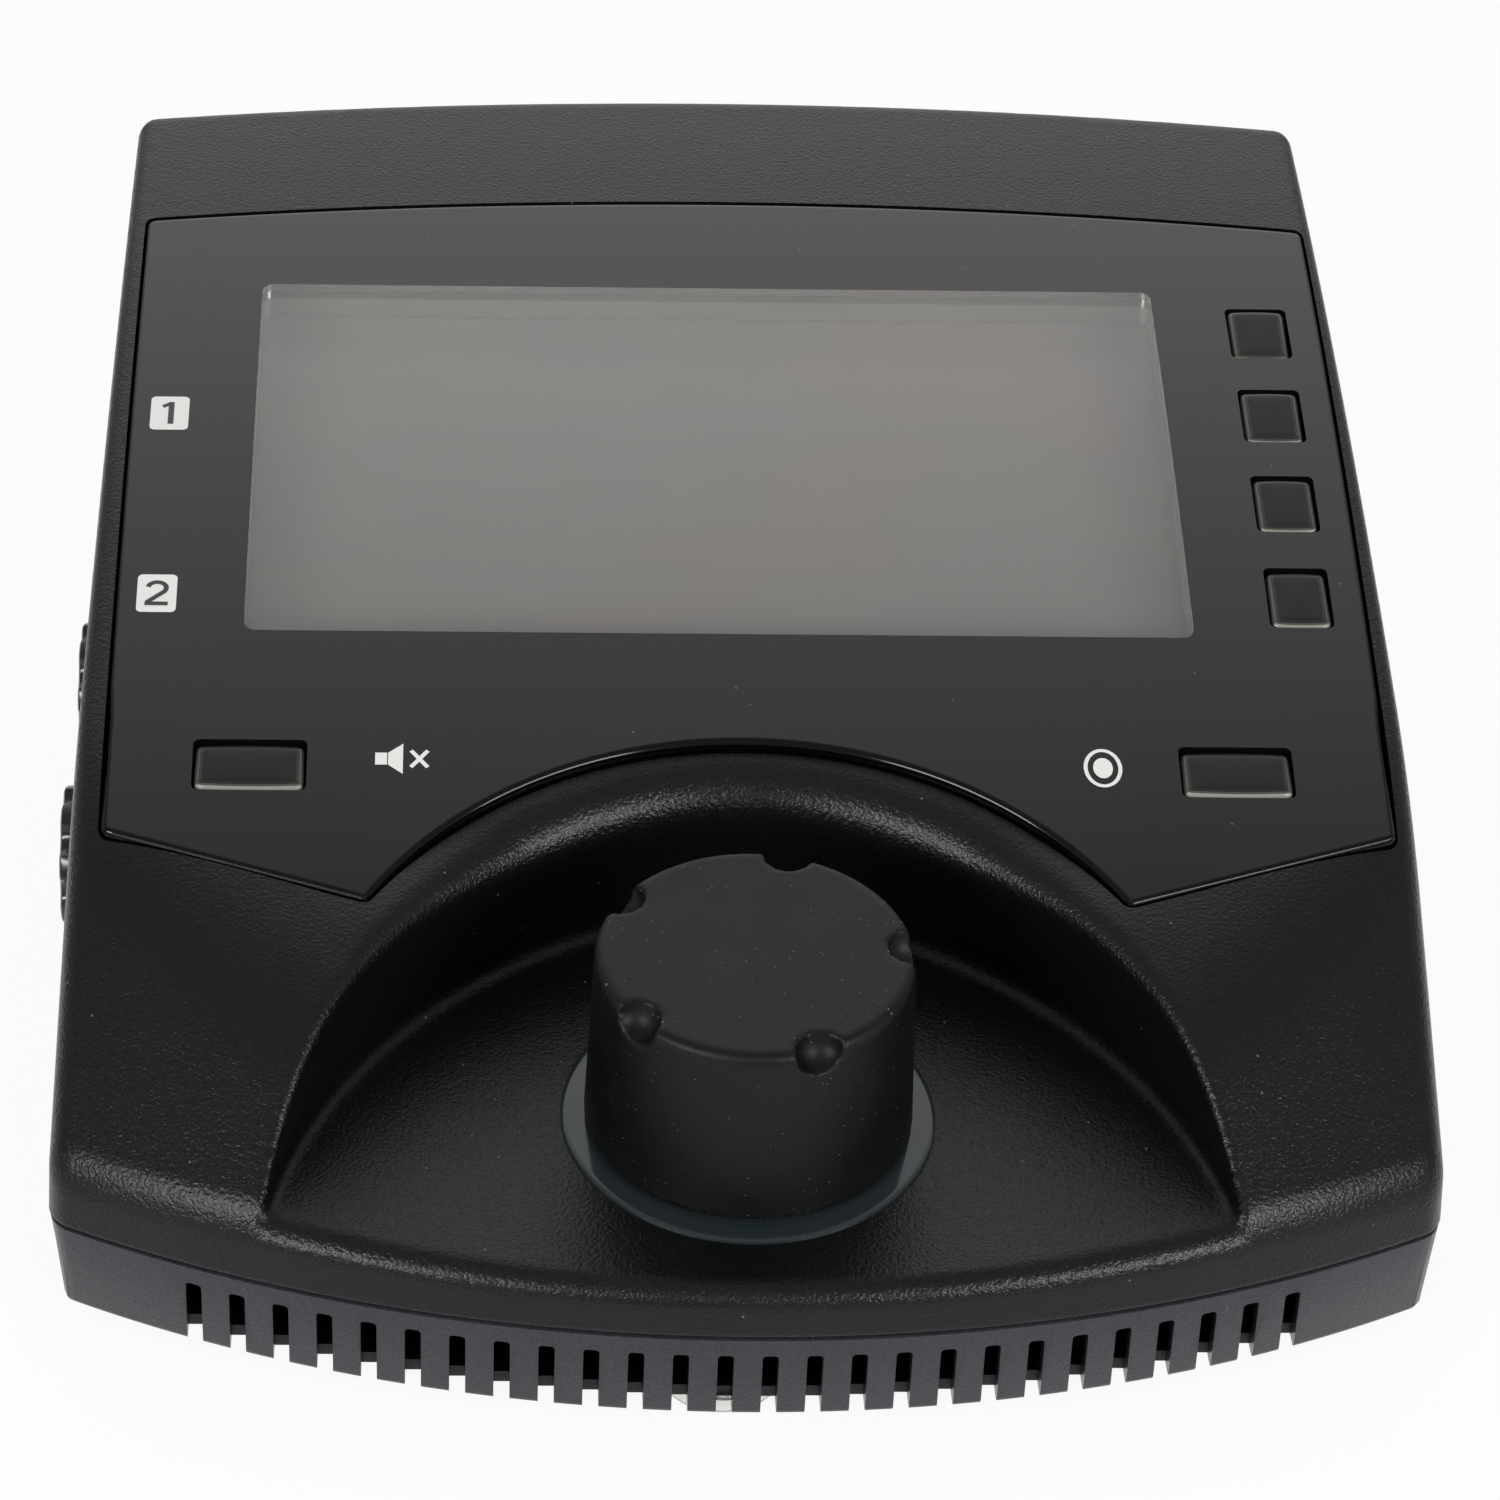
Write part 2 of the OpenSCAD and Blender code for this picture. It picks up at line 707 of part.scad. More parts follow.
module encoder_bushing() {
    tall = bushing_top - encoder_top - seat;
    color("#b5a642") on_knob() translate([0, 0, encoder_top + seat]) difference() {
        cylinder(r = bushing_r, h = tall, $fn = 64);
        translate([0, 0, -cut]) cylinder(r = shaft_r + shaft_fit, h = tall + 2 * cut, $fn = 64);
    }
}

module encoder_nut() {
    color("silver") on_knob() translate([0, 0, encoder_washer_t - ring_sunk]) difference() {
        cylinder(r = encoder_nut_r, h = encoder_nut_t, $fn = 6);
        translate([0, 0, -cut]) cylinder(r = bushing_r, h = encoder_nut_t + 2 * cut, $fn = 64);
    }
}

module encoder_washer() {
    color("silver") on_knob() translate([0, 0, -ring_sunk]) difference() {
        cylinder(r = nut_room - fit, h = encoder_washer_t - seat, $fn = 64);
        translate([0, 0, -cut]) cylinder(r = bushing_r + fit / 2, h = encoder_washer_t + 2 * cut, $fn = 64);
    }
}

module encoder_body() {
    color("#3b3b3b") on_knob() difference() {
        translate([-encoder_w / 2, -encoder_w / 2, encoder_top - encoder_h])
            cube([encoder_w, encoder_w, encoder_h]);
        translate([0, 0, encoder_top - encoder_h + encoder_skin])
            cylinder(r = plunger_r + fit, h = encoder_h, $fn = 64);
    }
}

// The plunger carries the shaft and presses the push switch in the encoder's body
module encoder_plunger() {
    color("#c8c4ba") on_knob() translate([0, 0, plunger_low])
        cylinder(r = plunger_r, h = plunger_t - seat, $fn = 64);
}

// Scalloped plastic nut on a jack's sleeve, with its inner face at z = 0
module scalloped_nut() {
    difference() {
        cylinder(r = nut_r, h = nut_t, $fn = 96);
        translate([0, 0, -cut]) cylinder(r = sleeve_r + seat, h = nut_t + 2 * cut, $fn = 64);
        for (i = [0:scallops - 1]) rotate([0, 0, i * 360 / scallops])
            translate([nut_r + scallop_out, 0, -cut])
                cylinder(r = scallop_r, h = nut_t + 2 * cut, $fn = 32);
    }
}

// Outer face of the drafted walls: half width at height z, and the rear's y at x and height z
function side_out(z) = case_w / 2 - (z - part_z) * tan(top_draft);
function rear_out(x, z) = rear_y - rear_r + sqrt(pow(rear_r - (z - part_z) * tan(top_draft), 2) - x * x);

// Room between a nut's inner face and the drafted wall
nut_lift = 0.05;
nut_gap = nut_r * tan(top_draft) + nut_lift;

// Quarter-inch jack: a body on the main board, a threaded sleeve through the side wall and a blind bore
module input_jack(j) {
    x = -side_out(j[1]) + wall + nut_gap + jack_w / 2 * tan(top_draft);
    tip = -side_out(j[1]) - nut_gap - nut_t;
    color("#1c1c1e") difference() {
        union() {
            translate([x, j[0] - jack_w / 2, main_board_z])
                cube([jack_len, jack_w, j[1] - main_board_z + jack_w / 2]);
            translate([x + wall, j[0], j[1]]) to_left()
                cylinder(r = sleeve_r, h = x + wall - tip, $fn = 64);
        }
        translate([x + jack_len - jack_end, j[0], j[1]]) to_left()
            cylinder(r = jack_bore_r, h = 2 * jack_len, $fn = 64);
    }
}

module input_nut(j) {
    color("#141416") translate([-side_out(j[1]) - nut_gap, j[0], j[1]]) to_left() scalloped_nut();
}

module output_jack(x) {
    y = rear_out(abs(x) + jack_w / 2, output_z + jack_w / 2) - wall - fit;
    tip = rear_out(abs(x) - nut_r, output_z - nut_r) + nut_t;
    color("#1c1c1e") difference() {
        union() {
            translate([x - jack_w / 2, y - jack_len, main_board_z]) cube([jack_w, jack_len, jack_w]);
            translate([x, y - wall, output_z]) to_rear()
                cylinder(r = sleeve_r, h = tip - y + wall, $fn = 64);
        }
        translate([x, y - jack_len + jack_end, output_z]) to_rear()
            cylinder(r = jack_bore_r, h = 2 * jack_len, $fn = 64);
    }
}

module output_nut(x) {
    color("#141416") translate([x, rear_out(abs(x) - nut_r, output_z - nut_r) + nut_lift, output_z]) to_rear()
        scalloped_nut();
}

network_w = 16;
network_h = 13.5;
network_d = 21;
network_side = 2;
network_back = 7;
network_low = 3;
network_bay_h = 7;
network_key_in = 5;
network_key_h = 3;
socket_sunk = 0.3;
power_w = 9;
power_h = 11;
power_d = 14;
power_back = 3;
power_bore_r = 2.8;
power_pin_r = 1;
power_pin_low = 1;
phones_w = 12;
phones_h = 9;
phones_d = 13;
phones_back = 1;
phones_sleeve_r = 3;
phones_bore_r = 1.8;
phones_z = main_board_z + phones_h / 2;
card_w = 24;
card_d = 28;
card_h = 3.6;
card_slot_h = 2.6;
card_slot_up = 0.6;
card_back = 2;
card_side = 1;

// Shielded eight-way network socket that opens to the rear
module network_jack() {
    y = rear_out(abs(network_x) + network_w / 2, main_board_z + network_h) - socket_sunk;
    color("silver") translate([network_x - network_w / 2, y - network_d, main_board_z]) difference() {
        cube([network_w, network_d, network_h]);
        translate([network_side, network_back, network_low])
            cube([network_w - 2 * network_side, network_d, network_bay_h]);
        translate([network_key_in, network_back, network_low + network_bay_h - cut])
            cube([network_w - 2 * network_key_in, network_d, network_key_h]);
    }
}

// Barrel power inlet
module power_inlet() {
    y = rear_out(abs(power_x) + power_w / 2, main_board_z + power_h) - socket_sunk;
    color("#1c1c1e") translate([power_x, y - power_d, main_board_z]) difference() {
        translate([-power_w / 2, 0, 0]) cube([power_w, power_d, power_h]);
        translate([0, power_back, power_h / 2]) to_rear() difference() {
            cylinder(r = power_bore_r, h = power_d, $fn = 48);
            translate([0, 0, -cut])
                cylinder(r = power_pin_r, h = power_d - power_back - power_pin_low + cut, $fn = 32);
        }
    }
}

// Small headphone jack with a round nose in the rear wall
module phones_jack() {
    y = rear_out(abs(phones_x) + phones_w / 2, main_board_z + phones_h) - wall - fit;
    color("#1c1c1e") translate([phones_x, y, phones_z]) to_rear() difference() {
        union() {
            translate([-phones_w / 2, -phones_h / 2, -phones_d]) cube([phones_w, phones_h, phones_d]);
            translate([0, 0, -seat]) cylinder(r = phones_sleeve_r, h = wall + seat, $fn = 48);
        }
        translate([0, 0, phones_back - phones_d]) cylinder(r = phones_bore_r, h = far / 10, $fn = 48);
    }
}

// Memory card socket that opens through the right wall
module card_socket() {
    x = side_out(main_board_z + card_h) - wall - fit;
    color("silver") translate([x - card_d, card_y - card_w / 2, main_board_z]) difference() {
        cube([card_d, card_w, card_h]);
        translate([card_back, card_side, card_slot_up])
            cube([card_d, card_w - 2 * card_side, card_slot_h]);
    }
}

module main_board() {
    color("#1f5a36") translate([0, 0, main_board_z - board_t]) linear_extrude(board_t - seat) difference() {
        translate([-main_board_half_w, main_board_front])
            square([2 * main_board_half_w, main_board_rear - main_board_front]);
        for (p = board_feet) translate(p) circle(r = small_screw_r + fit, $fn = 24);
        for (p = case_screws_at) translate(p) circle(r = boss_r + board_clear, $fn = 48);
    }
}

module main_board_screws() {
    color("silver") for (p = board_feet)
        translate([p[0], p[1], main_board_z - seat]) rotate([180, 0, 0])
            small_screw(board_t + small_screw_len - cut);
}

// Flat cable from the panel board's underside to the main board, folded in an easy S
ribbon_w = 20;
ribbon_t = 0.4;
plug_rim = 2;
plug_h = 3;
ribbon_x = -20;
ribbon_y = 30;

module ribbon_cable() {
    top = window_z + (ribbon_y - window_y) * tan(panel_tilt) -
        (panel_board_deep + board_t) / cos(panel_tilt) - seat;
    color("#c9c9c4") translate([ribbon_x, ribbon_y, 0]) {
        translate([0, 0, main_board_z]) cube([ribbon_w, ribbon_t, top - main_board_z]);
        translate([-plug_rim, -plug_rim, main_board_z])
            cube([ribbon_w + 2 * plug_rim, ribbon_t + 2 * plug_rim, plug_h]);
    }
}

module case_screws() {
    color("silver") for (p = case_screws_at) translate([p[0], p[1], base_z + base_h / 2 - head_t]) {
        cylinder(r = head_r, h = head_t - seat, $fn = 32);
        cylinder(r = screw_r - seat, h = head_t + base_h / 2 + screw_bite, $fn = 32);
    }
}

foot_taper = 1.2;
feet_at = concat([[-front_foot_left, front_y + front_foot_in]],
    [for (x = [-foot_x, foot_x]) for (y = [front_y + foot_front_in, rear_y - foot_rear_in]) [x, y]]);

module bumper_feet() {
    color([0.9, 0.9, 0.88, 0.6]) for (p = feet_at) translate([p[0], p[1], 0])
        cylinder(r1 = foot_r - foot_taper, r2 = foot_r, h = foot_h - seat, $fn = 64);
}

top_case();
base_tray();
front_panel();
display_window();
display_frame();
display_cell();
display_backlight();
soft_key(0);  // soft_key_1
soft_key(1);  // soft_key_2
soft_key(2);  // soft_key_3
soft_key(3);  // soft_key_4
mute_key();
record_key();
key_switches();
panel_board();
panel_board_screws();
knob();
knob_ring();
encoder_shaft();
encoder_bushing();
encoder_nut();
encoder_washer();
encoder_body();
encoder_plunger();
input_jack(inputs[0]);  // input_jack_1
input_jack(inputs[1]);  // input_jack_2
input_nut(inputs[0]);  // input_nut_1
input_nut(inputs[1]);  // input_nut_2
output_jack(outputs[1]);  // output_jack_left
output_jack(outputs[0]);  // output_jack_right
output_nut(outputs[1]);  // output_nut_left
output_nut(outputs[0]);  // output_nut_right
network_jack();
power_inlet();
phones_jack();
card_socket();
main_board();
main_board_screws();
ribbon_cable();
case_screws();
bumper_feet();
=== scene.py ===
import math
import bmesh
import bpy
import numpy as np
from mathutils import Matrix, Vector


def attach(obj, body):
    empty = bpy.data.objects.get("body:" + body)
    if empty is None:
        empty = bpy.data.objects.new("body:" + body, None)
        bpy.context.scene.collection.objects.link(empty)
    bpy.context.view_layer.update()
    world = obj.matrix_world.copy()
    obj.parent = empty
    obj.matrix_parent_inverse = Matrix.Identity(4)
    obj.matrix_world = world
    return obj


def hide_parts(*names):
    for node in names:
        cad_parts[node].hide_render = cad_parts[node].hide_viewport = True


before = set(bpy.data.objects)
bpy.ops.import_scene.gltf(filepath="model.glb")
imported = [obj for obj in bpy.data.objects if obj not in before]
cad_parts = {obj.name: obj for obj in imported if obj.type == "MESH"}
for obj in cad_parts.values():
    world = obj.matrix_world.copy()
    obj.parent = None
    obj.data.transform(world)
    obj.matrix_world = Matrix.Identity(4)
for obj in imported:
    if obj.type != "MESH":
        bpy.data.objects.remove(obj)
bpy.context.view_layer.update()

# Base tray: a shallow moulded ABS tray under the case, with a bulged front and walls that taper downwards.
# Twenty-six upright vent slots run through the front wall and on into the floor. Four screws hold it from below.
# All sizes are in millimetres, with x to the right, y to the rear and z up from the table.
case_half = 136.9 / 2
front_y, rear_y = -83.1, 83.1
front_r, rear_r = 133.6, 443.0
corner_r = 2.0
base_z, part_z = 2.5, 12.5
base_lean = (part_z - base_z) * math.tan(math.radians(7.5))
wall = 2.4


def round_both(a, b, r):
    """Inside both a and b, with the edge where they meet rounded to radius r."""
    u, v = np.maximum(a + r, 0), np.maximum(b + r, 0)
    return np.minimum(np.maximum(a, b), -r) + np.hypot(u, v)


def plan_field(x, y):
    """Distance outside the case's plan outline: bulged front and rear, straight sides, rounded corners."""
    front = np.hypot(x, y - front_y - front_r) - front_r
    rear = np.hypot(x, y - rear_y + rear_r) - rear_r
    return round_both(round_both(np.abs(x) - case_half, rear, corner_r), front, corner_r)


def ring(field, centre, level, count):
    """Points spaced evenly along the line where field is level, seen from centre."""
    angle = np.linspace(0, 2 * np.pi, count, endpoint=False)
    for _ in range(3):
        near, away = np.zeros(count), np.full(count, 200.0)
        for _ in range(40):
            mid = (near + away) / 2
            inside = field(centre[0] + mid * np.cos(angle), centre[1] + mid * np.sin(angle)) < level
            near, away = np.where(inside, mid, near), np.where(inside, away, mid)
        p = np.stack([centre[0] + near * np.cos(angle), centre[1] + near * np.sin(angle)], 1)
        run = np.concatenate([[0], np.cumsum(np.linalg.norm(np.diff(np.vstack([p, p[:1]]), axis=0), axis=1))])
        turn = np.append(angle, angle[0] + 2 * np.pi)
        angle = np.interp(np.arange(count) * run[-1] / count, run, turn)
    return p


def piece(name, points, faces, material=None, smooth=35):
    """A mesh object from points in millimetres, shaded smooth but for edges sharper than smooth degrees."""
    mesh = bpy.data.meshes.new(name)
    mesh.from_pydata([tuple(0.001 * c for c in p) for p in points], [], [tuple(map(int, f)) for f in faces])
    mesh.validate()
    mesh.shade_smooth()
    mesh.set_sharp_from_angle(angle=math.radians(smooth))
    obj = bpy.data.objects.new(name, mesh)
    bpy.context.scene.collection.objects.link(obj)
    if material:
        mesh.materials.append(material)
    return obj


def loft(rings, ends=True):
    """Points and faces of a skin over rings that all have the same number of points, with or without its ends."""
    count = len(rings[0])
    points = [p for r in rings for p in r]
    faces = []
    for k in range(len(rings) - 1):
        for i in range(count):
            j = (i + 1) % count
            faces.append((k * count + i, k * count + j, (k + 1) * count + j, (k + 1) * count + i))
    if ends:
        faces.append(tuple(range(count - 1, -1, -1)))
        faces.append(tuple((len(rings) - 1) * count + i for i in range(count)))
    return points, faces


def prism(outline, place):
    """A straight bar: outline is a list of (u, v), and place turns (u, v, 0 or 1) into millimetres."""
    return loft([[place(u, v, e) for u, v in outline] for e in (0, 1)])


def join(parts):
    """Several (points, faces) lists as one."""
    points, faces = [], []
    for p, f in parts:
        faces += [tuple(i + len(points) for i in face) for face in f]
        points += list(p)
    return points, faces


def cut_away(obj, cutters, smooth=35):
    """Cuts closed bars out of obj for good."""
    tool = piece(obj.name + "_cutter", *join(cutters))
    bm = bmesh.new()
    bm.from_mesh(tool.data)
    bmesh.ops.recalc_face_normals(bm, faces=bm.faces)
    bm.to_mesh(tool.data)
    bm.free()
    modifier = obj.modifiers.new("cut", "BOOLEAN")
    modifier.object, modifier.operation, modifier.solver = tool, "DIFFERENCE", "EXACT"
    bpy.context.view_layer.update()
    done = bpy.data.meshes.new_from_object(obj.evaluated_get(bpy.context.evaluated_depsgraph_get()))
    obj.modifiers.clear()
    obj.data = done
    done.shade_smooth()
    done.set_sharp_from_angle(angle=math.radians(smooth))
    bpy.data.objects.remove(tool)


def linear(code):
    """sRGB hex to the linear colour that the shader works in."""
    c = [int(code[i:i + 2], 16) / 255 for i in (1, 3, 5)]
    return tuple(v / 12.92 if v <= 0.04045 else ((v + 0.055) / 1.055) ** 2.4 for v in c) + (1.0,)


def node(tree, kind, settings=(), links=()):
    """Adds one node: settings go to its sockets or attributes by name, links join its sockets to others."""
    n = tree.nodes.new(kind)
    for key, value in dict(settings).items():
        if isinstance(key, int) or key in n.inputs:
            n.inputs[key].default_value = value
        else:
            setattr(n, key, value)
    for key, source in dict(links).items():
        tree.links.new(source, n.inputs[key])
    return n


def start_material(name, settings):
    """A new material with one principled shader, its node tree and that shader."""
    made = bpy.data.materials.new(name)
    made.use_nodes = True
    shader = made.node_tree.nodes["Principled BSDF"]
    for key, value in settings.items():
        shader.inputs[key].default_value = value
    return made, made.node_tree, shader


def grained_abs(name, dark, pale, grain_mm, depth):
    """Black ABS moulded in a spark-eroded tool: a fine even grain that breaks up each highlight into specks,
    a little lighter on the grain's tops, with soft clouds of tone and a few dust specks."""
    cloud_mm, dust_mm, dust_reach, grain_high = 14, 3.5, 0.035, 0.00014
    made, tree, shader = start_material(name, {"IOR": 1.53, "Specular IOR Level": 0.28})
    place = node(tree, "ShaderNodeTexCoord").outputs["Object"]
    grain = node(tree, "ShaderNodeTexNoise", {"Scale": 1000 / grain_mm, "Detail": 2.0, "Roughness": 0.6},
                 {"Vector": place})
    cloud = node(tree, "ShaderNodeTexNoise", {"Scale": 1000 / cloud_mm, "Detail": 3.0}, {"Vector": place})
    tone = node(tree, "ShaderNodeMath", {"operation": "MULTIPLY", 1: 0.75}, {0: grain.outputs["Fac"]})
    both = node(tree, "ShaderNodeMath", {"operation": "MULTIPLY_ADD", 1: 0.35},
                {0: cloud.outputs["Fac"], 2: tone.outputs[0]})
    ramp = node(tree, "ShaderNodeValToRGB", {}, {"Fac": both.outputs[0]})
    for stop, at, colour in zip(ramp.color_ramp.elements, (0.3, 0.75), (dark, pale)):
        stop.position, stop.color = at, linear(colour)
    dots = node(tree, "ShaderNodeTexVoronoi", {"Scale": 1000 / dust_mm, "Randomness": 1.0}, {"Vector": place})
    speck = node(tree, "ShaderNodeMath", {"operation": "LESS_THAN", 1: dust_reach}, {0: dots.outputs["Distance"]})
    dust = node(tree, "ShaderNodeMix", {"data_type": "RGBA", 7: linear("#5a5a58")},
                {0: speck.outputs[0], 6: ramp.outputs["Color"]})
    rough = node(tree, "ShaderNodeMapRange", {"To Min": 0.23, "To Max": 0.33}, {"Value": grain.outputs["Fac"]})
    bump = node(tree, "ShaderNodeBump", {"Strength": depth, "Distance": grain_high},
                {"Height": grain.outputs["Fac"]})
    tree.links.new(dust.outputs[2], shader.inputs["Base Color"])
    tree.links.new(rough.outputs["Result"], shader.inputs["Roughness"])
    tree.links.new(bump.outputs["Normal"], shader.inputs["Normal"])
    return made


# The tray is a greyer black than the case, with a shallower grain that glitters less.
tray_abs = grained_abs("grained_black_abs_tray", "#232427", "#34353b", 0.36, 0.5)
plan_count = 520
groove_z = part_z - 0.36
tray_profile = [  # inset from the plan outline, and height
    (base_lean + 0.9, base_z), (base_lean + 0.35, base_z + 0.12), (base_lean, base_z + 0.6),  # rounded foot
    (0.16, groove_z - 0.1), (0.28, groove_z - 0.02), (0.6, groove_z),  # parting groove under the case
    (wall, groove_z), (wall + base_lean, base_z + 1.2)]  # inner face of the wall
tray = piece("base_tray_moulding", *loft([
    [(x, y, z) for x, y in ring(plan_field, (0.0, 0.0), -inset, plan_count)] for inset, z in tray_profile]), tray_abs)

past = 1.0  # how far a cutter stands out of what it cuts
vents, vent_w, vent_pitch, vent_shift = 26, 1.55, 4.27, -0.5
vent_r, vent_top, vent_run = 0.4, part_z - 2.4, base_lean + 3.15
vent_corner = [(vent_w / 2 - vent_r + vent_r * math.cos(a), vent_top - vent_r + vent_r * math.sin(a))
               for a in np.linspace(0, np.pi / 2, 5)]
vent_outline = [(-vent_w / 2, base_z - past), (vent_w / 2, base_z - past)] + vent_corner
vent_outline += [(-u, v) for u, v in vent_corner[::-1]]
slots = []
for i in range(vents):
    x = (i - (vents - 1) / 2) * vent_pitch + vent_shift
    y = front_y + front_r - math.sqrt(front_r ** 2 - x * x)
    slots.append(prism(vent_outline, lambda u, v, e, x=x, y=y: (x + u, y - past + e * (past + vent_run), v)))
round_turn = np.linspace(0, 2 * np.pi, 40, endpoint=False)


def disc(r):
    return [(r * math.cos(a), r * math.sin(a)) for a in round_turn]


well_x, well_r, well_deep = 60.0, 3.0, 5.0
for x, y in [(sx * well_x, sy) for sx in (-1, 1) for sy in (front_y + 27, rear_y - 15)]:
    slots.append(prism(disc(well_r), lambda u, v, e, x=x, y=y: (
        x + u, y + v, base_z - past + e * (past + well_deep))))
cut_away(tray, slots)
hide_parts("base_tray")
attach(tray, "case")

# Bumper feet: five clear polyurethane domes, peeled off a sheet and stuck under the tray.
# They are glassy and slightly yellow, so they take the tone of what is round them, with a little haze.
haze_mm = 5
clear_pu, clear_tree, clear_shader = start_material("clear_polyurethane", {
    "Base Color": linear("#dcdcd4"), "IOR": 1.5, "Transmission Weight": 0.75})
haze = node(clear_tree, "ShaderNodeTexNoise", {"Scale": 1000 / haze_mm, "Detail": 2.0},
            {"Vector": node(clear_tree, "ShaderNodeTexCoord").outputs["Object"]})
haze_range = node(clear_tree, "ShaderNodeMapRange", {"To Min": 0.08, "To Max": 0.22}, {"Value": haze.outputs["Fac"]})
clear_tree.links.new(haze_range.outputs["Result"], clear_shader.inputs["Roughness"])
foot_profile = [  # radius and height
    (3.6, 0.0), (4.7, 0.12), (5.5, 0.5), (6.0, 1.1), (6.25, 1.8), (6.3, 2.3), (6.3, 2.48)]
foot_x = 46.0
feet_at = [(-2.7, front_y + 10)] + [(sx * foot_x, sy) for sx in (-1, 1) for sy in (front_y + 39, rear_y - 17)]
feet = piece("clear_bumper_feet", *join([
    loft([[(x + u, y + v, z) for u, v in disc(r)] for r, z in foot_profile]) for x, y in feet_at]), clear_pu)
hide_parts("bumper_feet")
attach(feet, "case")

# Top case: one black ABS moulding with a crowned, sloping top, soft edges and an arch-shaped scoop for the knob.
# The scoop's wall is drawn square to the panel, and its floor runs out over a rounded lip at the front.
# A pocket takes the panel, and the walls have holes for the connectors.
panel_tilt, floor_tilt, draft = math.radians(14.6), math.radians(8.9), math.radians(2)
window_y, window_z, crown_r = 14.6, 58.2, 544.0
crown_y, crown_z = window_y + crown_r * math.sin(panel_tilt), window_z - crown_r * math.cos(panel_tilt)
shoulder_tilt, nose_z, ridge_blend = math.radians(43), part_z + 6.3, 3.0
top_edge_r, front_edge_r = 2.2, 2.0
scoop_low, scoop_r, scoop_spread, scoop_blend = 105.0, 61.8, 12.0, 14.0
lip_z, lip_r, lip_blend = part_z + 5.0, 2.0, 1.6
back_run, rim_r, rim_more_r, rim_growth = 46.0, 0.7, 3.8, 2.5
fillet_r, fillet_more_r = 0.5, 1.5
strip_deep, strip_top, strip_foot, strip_half = 1.2, -30.0, -68.0, 50.0
strip_top_run, strip_foot_run, strip_side_run = 10.0, 16.0, 14.0


def to_panel(y, z):
    """Distance up the panel's slope from the window's middle."""
    return (y - window_y) * math.cos(panel_tilt) + (z - window_z) * math.sin(panel_tilt)


def ease(u):
    u = np.clip(u, 0, 1)
    return u * u * (3 - 2 * u)


def case_field(x, y, z):
    """Distance outside the top case, with every edge rounded as the moulding's are."""
    rise = (z - part_z) * math.tan(draft)
    bulge = np.hypot(x, y - front_y - front_r) - front_r
    sides = (np.abs(x) - case_half + rise) * math.cos(draft)
    front = (bulge + rise) * math.cos(draft)
    rear = (np.hypot(x, y - rear_y + rear_r) - rear_r + rise) * math.cos(draft)
    t = to_panel(y, z)
    strip = ease((strip_top - t) / strip_top_run) * ease((t - strip_foot) / strip_foot_run)
    sunk = strip_deep * strip * ease((strip_half - np.abs(x)) / strip_side_run)
    crown = np.hypot(y - crown_y, z - crown_z) - crown_r + sunk
    shoulder = bulge * math.sin(shoulder_tilt) + (z - nose_z) * math.cos(shoulder_tilt)
    ridge = np.maximum(ridge_blend - np.abs(crown - shoulder), 0) ** 2 / (4 * ridge_blend)
    top = np.maximum(crown, shoulder) + ridge
    body = round_both(round_both(round_both(sides, rear, corner_r), top, top_edge_r), front, front_edge_r)
    barrel = np.hypot(np.hypot(x, scoop_blend) + scoop_spread, t + scoop_low) - scoop_r
    floor = (y - front_y) * math.sin(floor_tilt) - (z - lip_z) * math.cos(floor_tilt)
    back = np.clip((y - front_y) / back_run, 0, 1)
    lip = np.clip(0.5 + (floor - barrel) / lip_blend, 0, 1)
    rim = lip * lip_r + (1 - lip) * (rim_r + rim_more_r * back ** rim_growth)
    return round_both(body, -round_both(barrel, floor, fillet_r + fillet_more_r * back), rim)


def skin(field, low, high, step):
    """Points and quads on the surface where field is 0, one point in each cube of the grid that it crosses."""
    axes = [np.arange(a, b + step, step) for a, b in zip(low, high)]
    value = field(*np.meshgrid(*axes, indexing="ij"))
    inside = value < 0
    n = value.shape
    count = sum(inside[i:n[0] - 1 + i, j:n[1] - 1 + j, k:n[2] - 1 + k].astype(np.int8)
                for i in (0, 1) for j in (0, 1) for k in (0, 1))
    crossed = (count > 0) & (count < 8)
    index = np.full(crossed.shape, -1)
    index[crossed] = np.arange(int(crossed.sum()))
    p = np.stack([axes[a][c] + step / 2 for a, c in enumerate(np.nonzero(crossed))], 1)
    e = 1e-3
    for _ in range(8):
        v = field(p[:, 0], p[:, 1], p[:, 2])
        g = np.stack([(field(*(p + d).T) - field(*(p - d).T)) / (2 * e) for d in np.eye(3) * e], 1)
        move = -v[:, None] * g / np.maximum((g * g).sum(1), 0.05)[:, None]
        size = np.linalg.norm(move, axis=1, keepdims=True)
        p = p + move * np.minimum(1, step / np.maximum(size, 1e-9))
    quads = []
    for a in range(3):
        b, c = (a + 1) % 3, (a + 2) % 3
        s = np.moveaxis(inside, (a, b, c), (0, 1, 2))
        ids = np.moveaxis(index, (a, b, c), (0, 1, 2))
        lo, hi = s[:-1, 1:-1, 1:-1], s[1:, 1:-1, 1:-1]
        i, j, k = np.nonzero(lo != hi)
        q = np.stack([ids[i, j, k], ids[i, j + 1, k], ids[i, j + 1, k + 1], ids[i, j, k + 1]], 1)
        flip = ~lo[i, j, k]
        q[flip] = q[flip][:, ::-1]
        quads.append(q)
    return p, np.concatenate(quads)


